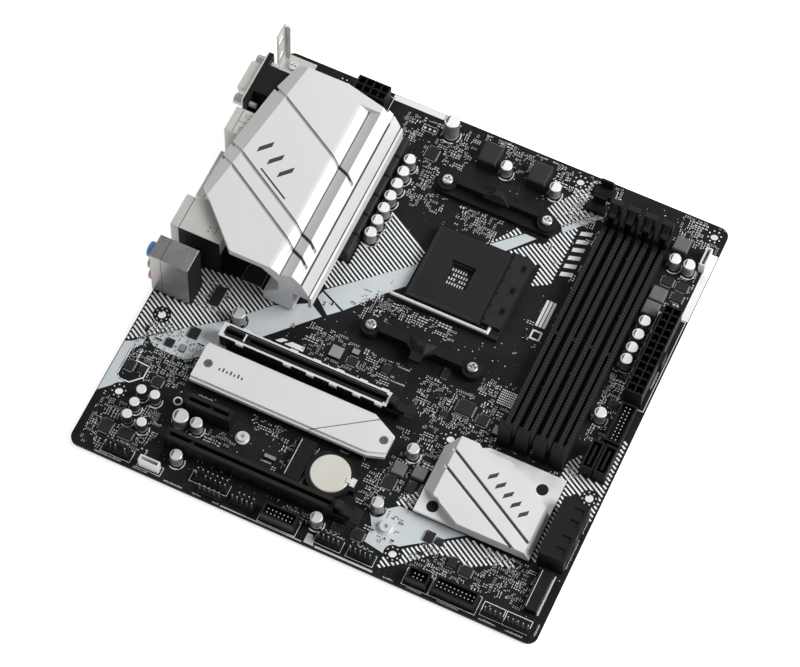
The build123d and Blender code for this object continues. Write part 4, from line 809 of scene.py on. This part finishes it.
# dark stripes on the chipset heatsink's groove floors: groove paint darkened with painted shade
chipset_groove_shade = Build()
CHIP_GROOVE_FLOOR = Z_CH - 1.4
for a, b in (((171.2, 71.5), (221.4, 42.6)), ((171.2, 61.7), (215.0, 37.2))):
    chipset_groove_shade.line(a, b, 1.46, CHIP_GROOVE_FLOOR, CHIP_GROOVE_FLOOR + STRIPE)
chipset_groove_shade.piece("chipset_groove_painted_shade", GROOVE_SHADE)
stripes.piece("groove_stripes", GROOVE)
shadows.piece("heatsink_painted_shade_lines", DARK_PRINT_AND_SHADE)
for k in range(3):
    x, y = 21.0 + 7.6 * k, 172.0 - 4.4 * k
    marks.slab([(x, y - 8.0), (x + 5.6, y - 2.2), (x + 5.6, y + 1.0), (x, y - 4.8)], Z_HS, Z_HS + PRINT)
marks.line((27.0, 156.6), (45.0, 146.1), 0.9, Z_HS, Z_HS + PRINT)
for k in range(5):
    x, y = 191.0 + 5.2 * k, 68.6 - 3.0 * k
    marks.slab([(x, y - 4.6), (x + 3.8, y - 1.4), (x + 3.8, y + 1.2), (x, y - 2.0)], Z_CH, Z_CH + PRINT)
for k in range(7):
    marks.box(50.4 + 2.0 * k, 61.0, 51.2 + 2.0 * k, 63.2 if k % 2 else 62.4, Z_M2, Z_M2 + PRINT)
marks.piece("heatsink_marks", DARK_PRINT_AND_SHADE)

# ------------------------------------------------------------------ processor socket: contact holes
holes, window = Build(), Build()
cover_x, cover_y, _, cover_end, cover_top = plans("processor_socket_cover")[0]
HOLE_PITCH = 1.0
HOLES_X, HOLES_Y = 36, 39
WINDOW_X, WINDOW_Y = (126.3, 139.5), (153.5, 167.5)
WINDOW_EDGE = 0.4
# dark discs on the recess floor stand for the contact holes, painted shade inside them
hole_floor = cover_top - 0.25
for i in range(HOLES_X):
    for j in range(HOLES_Y):
        x, y = cover_x + 2.3 + HOLE_PITCH * i, cover_y + 2.7 + HOLE_PITCH * j
        in_window = (WINDOW_X[0] - WINDOW_EDGE < x < WINDOW_X[1] + WINDOW_EDGE
                     and WINDOW_Y[0] - WINDOW_EDGE < y < WINDOW_Y[1] + WINDOW_EDGE)
        if y < cover_end - 1.8 and not in_window:
            holes.round(x, y, 0.27, hole_floor, hole_floor + 0.012, sides=8)
holes.piece("socket_contact_holes", HOLE_SHADE, "processor_socket_cover")
for i in range(7):
    for j in range(4):
        x, y = 128.0 + 1.4 * i, 155.6 + 2.6 * j
        if (i, j) not in ((3, 1), (6, 3), (0, 2)):
            window.box(x, y, x + 0.6, y + 1.4, 0.6, 1.0)
window.piece("socket_window_parts", TIN)

# ------------------------------------------------------------------ slots: contacts and ribs
contacts, ribs = Build(), Build()
for x0, y0, x1, y1, _ in plans("memory_slots"):
    cx = (x0 + x1) / 2
    for k in range(int((y1 - y0 - 14) / MEMORY_STEP)):
        y = y0 + 5.0 + MEMORY_STEP * k
        for side in (-1, 1):
            low, high = one_side(cx, side, 0.82, 1.3)
            contacts.box(low, y, high, y + 0.55, 7.5, 7.53)
            low, high = one_side(cx, side, 3.3, 3.42)
            ribs.box(low, y, high, y + 0.8, 0.6, 6.4)
            low, high = one_side(cx, side, 1.9, 2.7)
            ribs.box(low, y, high, y + 0.95, 7.5, 7.62)
for name in CARD_SLOTS:
    x0, y0, x1, y1, _ = plans(name)[0]
    cy = (y0 + y1) / 2
    x1 = min(x1, CARD_SLOT_END)
    for k in range(int(x1 - x0 - 5)):
        x = x0 + 2.4 + k
        for side in (-1, 1):
            if name != "graphics_slot_upper":
                low, high = one_side(cy, side, 1.15, 3.0)
                ribs.box(x, low, x + 0.45, high, 11.0, 11.25)
            low, high = one_side(cy, side, 3.2, 3.35)
            ribs.box(x, low, x + 0.5, high, 0.6, 10.2)
# the contacts take the darkened pin metal, painted shade down in the slots
contacts.piece("memory_contacts", SHADED_PIN_METAL)
ribs.piece("slot_ribs", RIB_PLASTIC)

# ------------------------------------------------------------------ port shells: seams and springs
seams = Build()
for x0, y0, z0, x1, y1, z1 in footprints["data_port_shells"]:
    if z1 - z0 < 12:
        continue
    mid = (y0 + y1) / 2
    seams.box(x0 + 4.2, mid - 0.14, x1 - 0.6, mid + 0.14, z1, z1 + PRINT)
    seams.box(x0 + 3.9, y0 + 0.4, x0 + 4.2, y1 - 0.4, z1, z1 + PRINT)
    for y in (y0 + 2.6, y1 - 4.4):
        seams.frame(x0 + 6.4, y, x0 + 11.0, y + 1.8, 0.22, z1, z1 + PRINT)
    for z in np.arange(z0 + 3.0, z1 - 3.0, 7.4):
        seams.box(x0 + 5.6, y0 - 0.02, x0 + 11.6, y0, z, z + 1.6)
lx0, ly0, lx1, ly1, lz1 = plans("network_port_shell")[0]
seams.box(lx0 + 4.4, ly0 + 0.3, lx0 + 4.75, ly1 - 0.3, lz1, lz1 + PRINT)
seams.box(lx1 - 5.2, ly0 + 4.0, lx1 - 4.9, ly1 - 4.0, lz1, lz1 + PRINT)
for y in (ly0 + 4.0, ly0 + 6.2):
    seams.box(lx1 - 9.0, y, lx1 - 8.2, y + 0.6, lz1, lz1 + PRINT)
ax0, ay0, _, ay1, az1 = plans("audio_jack_shell")[0]
seams.box(ax0 + 5.8, ay0 + 0.2, ax0 + 6.15, ay1 - 0.2, az1, az1 + PRINT)
seams.box(ax0 + 5.8, ay0 - 0.02, ax0 + 6.1, ay0, 1.0, az1 - 0.4)
seams.piece("port_shell_seams", DARK_PRINT_AND_SHADE)

# ------------------------------------------------------------------ pin tips, inner rim of the steel frame
tips, inner_rim = Build(), Build()
# bright tin caps on the thin pins, over pin metal darkened as painted shade: the pins' tops stand out as a
# painted highlight
for x0, y0, x1, y1, z1 in plans("header_pins"):
    if x1 - x0 < SMALL_PIN:
        tips.box(x0 + 0.08, y0 + 0.08, x1 - 0.08, y1 - 0.08, z1, z1 + 0.03)
tips.piece("pin_tips", TIN)
fx0, fy0, fx1, fy1, fz1 = plans("graphics_slot_steel_frame")[0]
for side in (-1, 1):
    low, high = one_side((fy0 + fy1) / 2, side, 2.15, 3.0)
    inner_rim.box(fx0 + 3.0, low, fx1 - 2.4, high, fz1, fz1 + PRINT)
inner_rim.piece("slot_inner_rim", PLASTIC)

# ------------------------------------------------------------------ card sockets: soldered leads and outlines
socket_leads, outlines = Build(), Build()
LEAD_PITCH = 0.8
for x0, y0, x1, y1, z1 in plans("card_sockets"):
    for k in range(int((y1 - y0 - 2) / LEAD_PITCH)):
        socket_leads.box(x1, y0 + 1.2 + LEAD_PITCH * k, x1 + 0.7, y0 + 1.5 + LEAD_PITCH * k, 0.0, 0.25)
    outlines.box(x0 - 0.5, y0 + 0.3, x0 - 0.25, y1 - 0.3, INK0, INK1)
    outlines.box(x1 + 0.95, y0 + 0.3, x1 + 1.2, y1 - 0.3, INK0, INK1)
    outlines.box(x0 + 0.8, y0 + 1.0, x0 + 1.05, y1 - 1.0, z1, z1 + PRINT)
socket_leads.piece("card_socket_leads", TIN)
outlines.piece("card_socket_outlines", SILK)

# ------------------------------------------------------------------ drive cover: painted shade on its groove floors
joints = Build()
_, my0, mz0, _, my1, mz1 = footprints["drive_cover"][0]
# dark lines on the floors of the top groove and of the three side grooves: painted shade
joints.line((103.9, 51.9), (132.0, 71.2), 0.46, mz1 - 0.3, mz1 - 0.26)
for rib in range(3):
    z = mz0 + 0.5 + rib * 0.75
    joints.box(39.6, my0 + 0.26, 132.8, my0 + 0.31, z + 0.01, z + 0.29)
    joints.box(39.6, my1 - 0.31, 127.8, my1 - 0.26, z + 0.01, z + 0.29)
joints.piece("drive_cover_groove_shade", DARK_PRINT_AND_SHADE)

# ------------------------------------------------------------------ processor socket: cam box
cam, notches = Build(), Build()
CAM_TOP = footprints["processor_socket_base"][0][5]
# dark blocks on the cam box top stand for its notches, painted shade inside them
for y in (142.6, 150.4, 157.8, 165.6, 173.2):
    notches.box(153.3, y, 154.5, y + 1.5, CAM_TOP, CAM_TOP + PRINT)
for y in (149.0, 161.6, 175.0):
    notches.box(159.2, y - 0.3, 161.5, y + 3.3, CAM_TOP, CAM_TOP + PRINT)
    cam.frame(158.4, y - 1.2, 162.3, y + 4.2, 0.25, CAM_TOP, CAM_TOP + 0.08)
for y in (146.0, 154.2, 169.4):
    cam.frame(155.2, y, 157.4, y + 3.6, 0.25, CAM_TOP, CAM_TOP + 0.1)
cam.line((153.9, 141.4), (153.9, 182.6), 0.25, CAM_TOP, CAM_TOP + 0.1)
cam.piece("socket_cam_ribs", LATCH_PLASTIC)
notches.piece("socket_cam_notches", HOLE_SHADE)

# faceted hooks in the middle of the cooler brackets
hooks = Build()
for x0, y0, x1, y1, z1 in plans("cooler_brackets"):
    cx = (x0 + x1) / 2
    out = 1 if y0 > 160 else -1
    root_y = (y1 - 11.8) if out > 0 else (y0 + 11.8)
    low = [(cx - 7.6, root_y, z1), (cx + 7.6, root_y, z1), (cx + 3.2, root_y + out * 7.4, z1),
           (cx - 3.2, root_y + out * 7.4, z1)]
    high = [(cx - 2.4, root_y + out * 2.2, z1 + 3.0), (cx + 2.4, root_y + out * 2.2, z1 + 3.0),
            (cx + 1.8, root_y + out * 4.6, z1 + 3.0), (cx - 1.8, root_y + out * 4.6, z1 + 3.0)]
    hooks.loft(low, high)
hooks.piece("cooler_hooks", LATCH_PLASTIC)

# ------------------------------------------------------------------ underside: soldered tails
UNDER = -THICK
tails = Build()
soldered = [((x0 + x1) / 2, (y0 + y1) / 2) for x0, y0, _, x1, y1, _ in solids("solder_joints")]


def under_dot(x, y, r=0.55, drop=0.5):
    """Solder cone under a pin, where the CAD has no solder already."""
    if min(math.hypot(x - a, y - b) for a, b in soldered) > 1.6:
        tails.round(x, y, 0.35 * r, UNDER - drop, UNDER, sides=10, r_top=r)


for x0, y0, x1, y1, _ in plans("header_pins"):
    under_dot((x0 + x1) / 2, (y0 + y1) / 2, 0.6 if x1 - x0 < SMALL_PIN else 0.9)
for name in CARD_SLOTS:
    x0, y0, x1, y1, _ = plans(name)[0]
    cy = (y0 + y1) / 2
    for k in range(int((min(x1, CARD_SLOT_END) - x0 - 4) / 2.0)):
        for row in (-2.6, -0.9, 0.9, 2.6):
            under_dot(x0 + 2.4 + 2.0 * k + (1.0 if abs(row) < 1 else 0.0), cy + row, 0.42, 0.35)
for x0, y0, x1, y1, _ in plans("memory_slots"):
    cx = (x0 + x1) / 2
    for k in range(int((y1 - y0 - 10) / MEMORY_STEP)):
        for row in (-2.4, -0.9, 0.9, 2.4):
            under_dot(cx + row, y0 + 4.0 + MEMORY_STEP * k + (0.85 if abs(row) < 1 else 0.0), 0.38, 0.35)
for group in CAPACITORS:
    for x0, y0, x1, y1, _ in plans(group):
        for side in (-1.4, 1.4):
            under_dot((x0 + x1) / 2, (y0 + y1) / 2 + side, 0.75, 0.6)
for group in ("drive_ports_upright", "drive_ports_angled", "white_headers", "fan_headers"):
    for x0, y0, x1, y1, _ in plans(group):
        for k in range(int((y1 - y0) / HEADER_PITCH)):
            under_dot((x0 + x1) / 2, y0 + 1.2 + HEADER_PITCH * k, 0.5, 0.4)
tails.piece("underside_solder", SOLDER)

# ------------------------------------------------------------------ floor
floor_mesh = bpy.data.meshes.new("floor")
FLOOR_HALF, FLOOR_Z = 4.0, cad_low.z - 0.0002
CORNERS = ((-1, -1), (1, -1), (1, 1), (-1, 1))
floor_mesh.from_pydata([(x * FLOOR_HALF, y * FLOOR_HALF, FLOOR_Z) for x, y in CORNERS], [], [(0, 1, 2, 3)])
floor = bpy.data.objects.new("floor", floor_mesh)
floor_mesh.materials.append(FLOOR)
bpy.context.scene.collection.objects.link(floor)
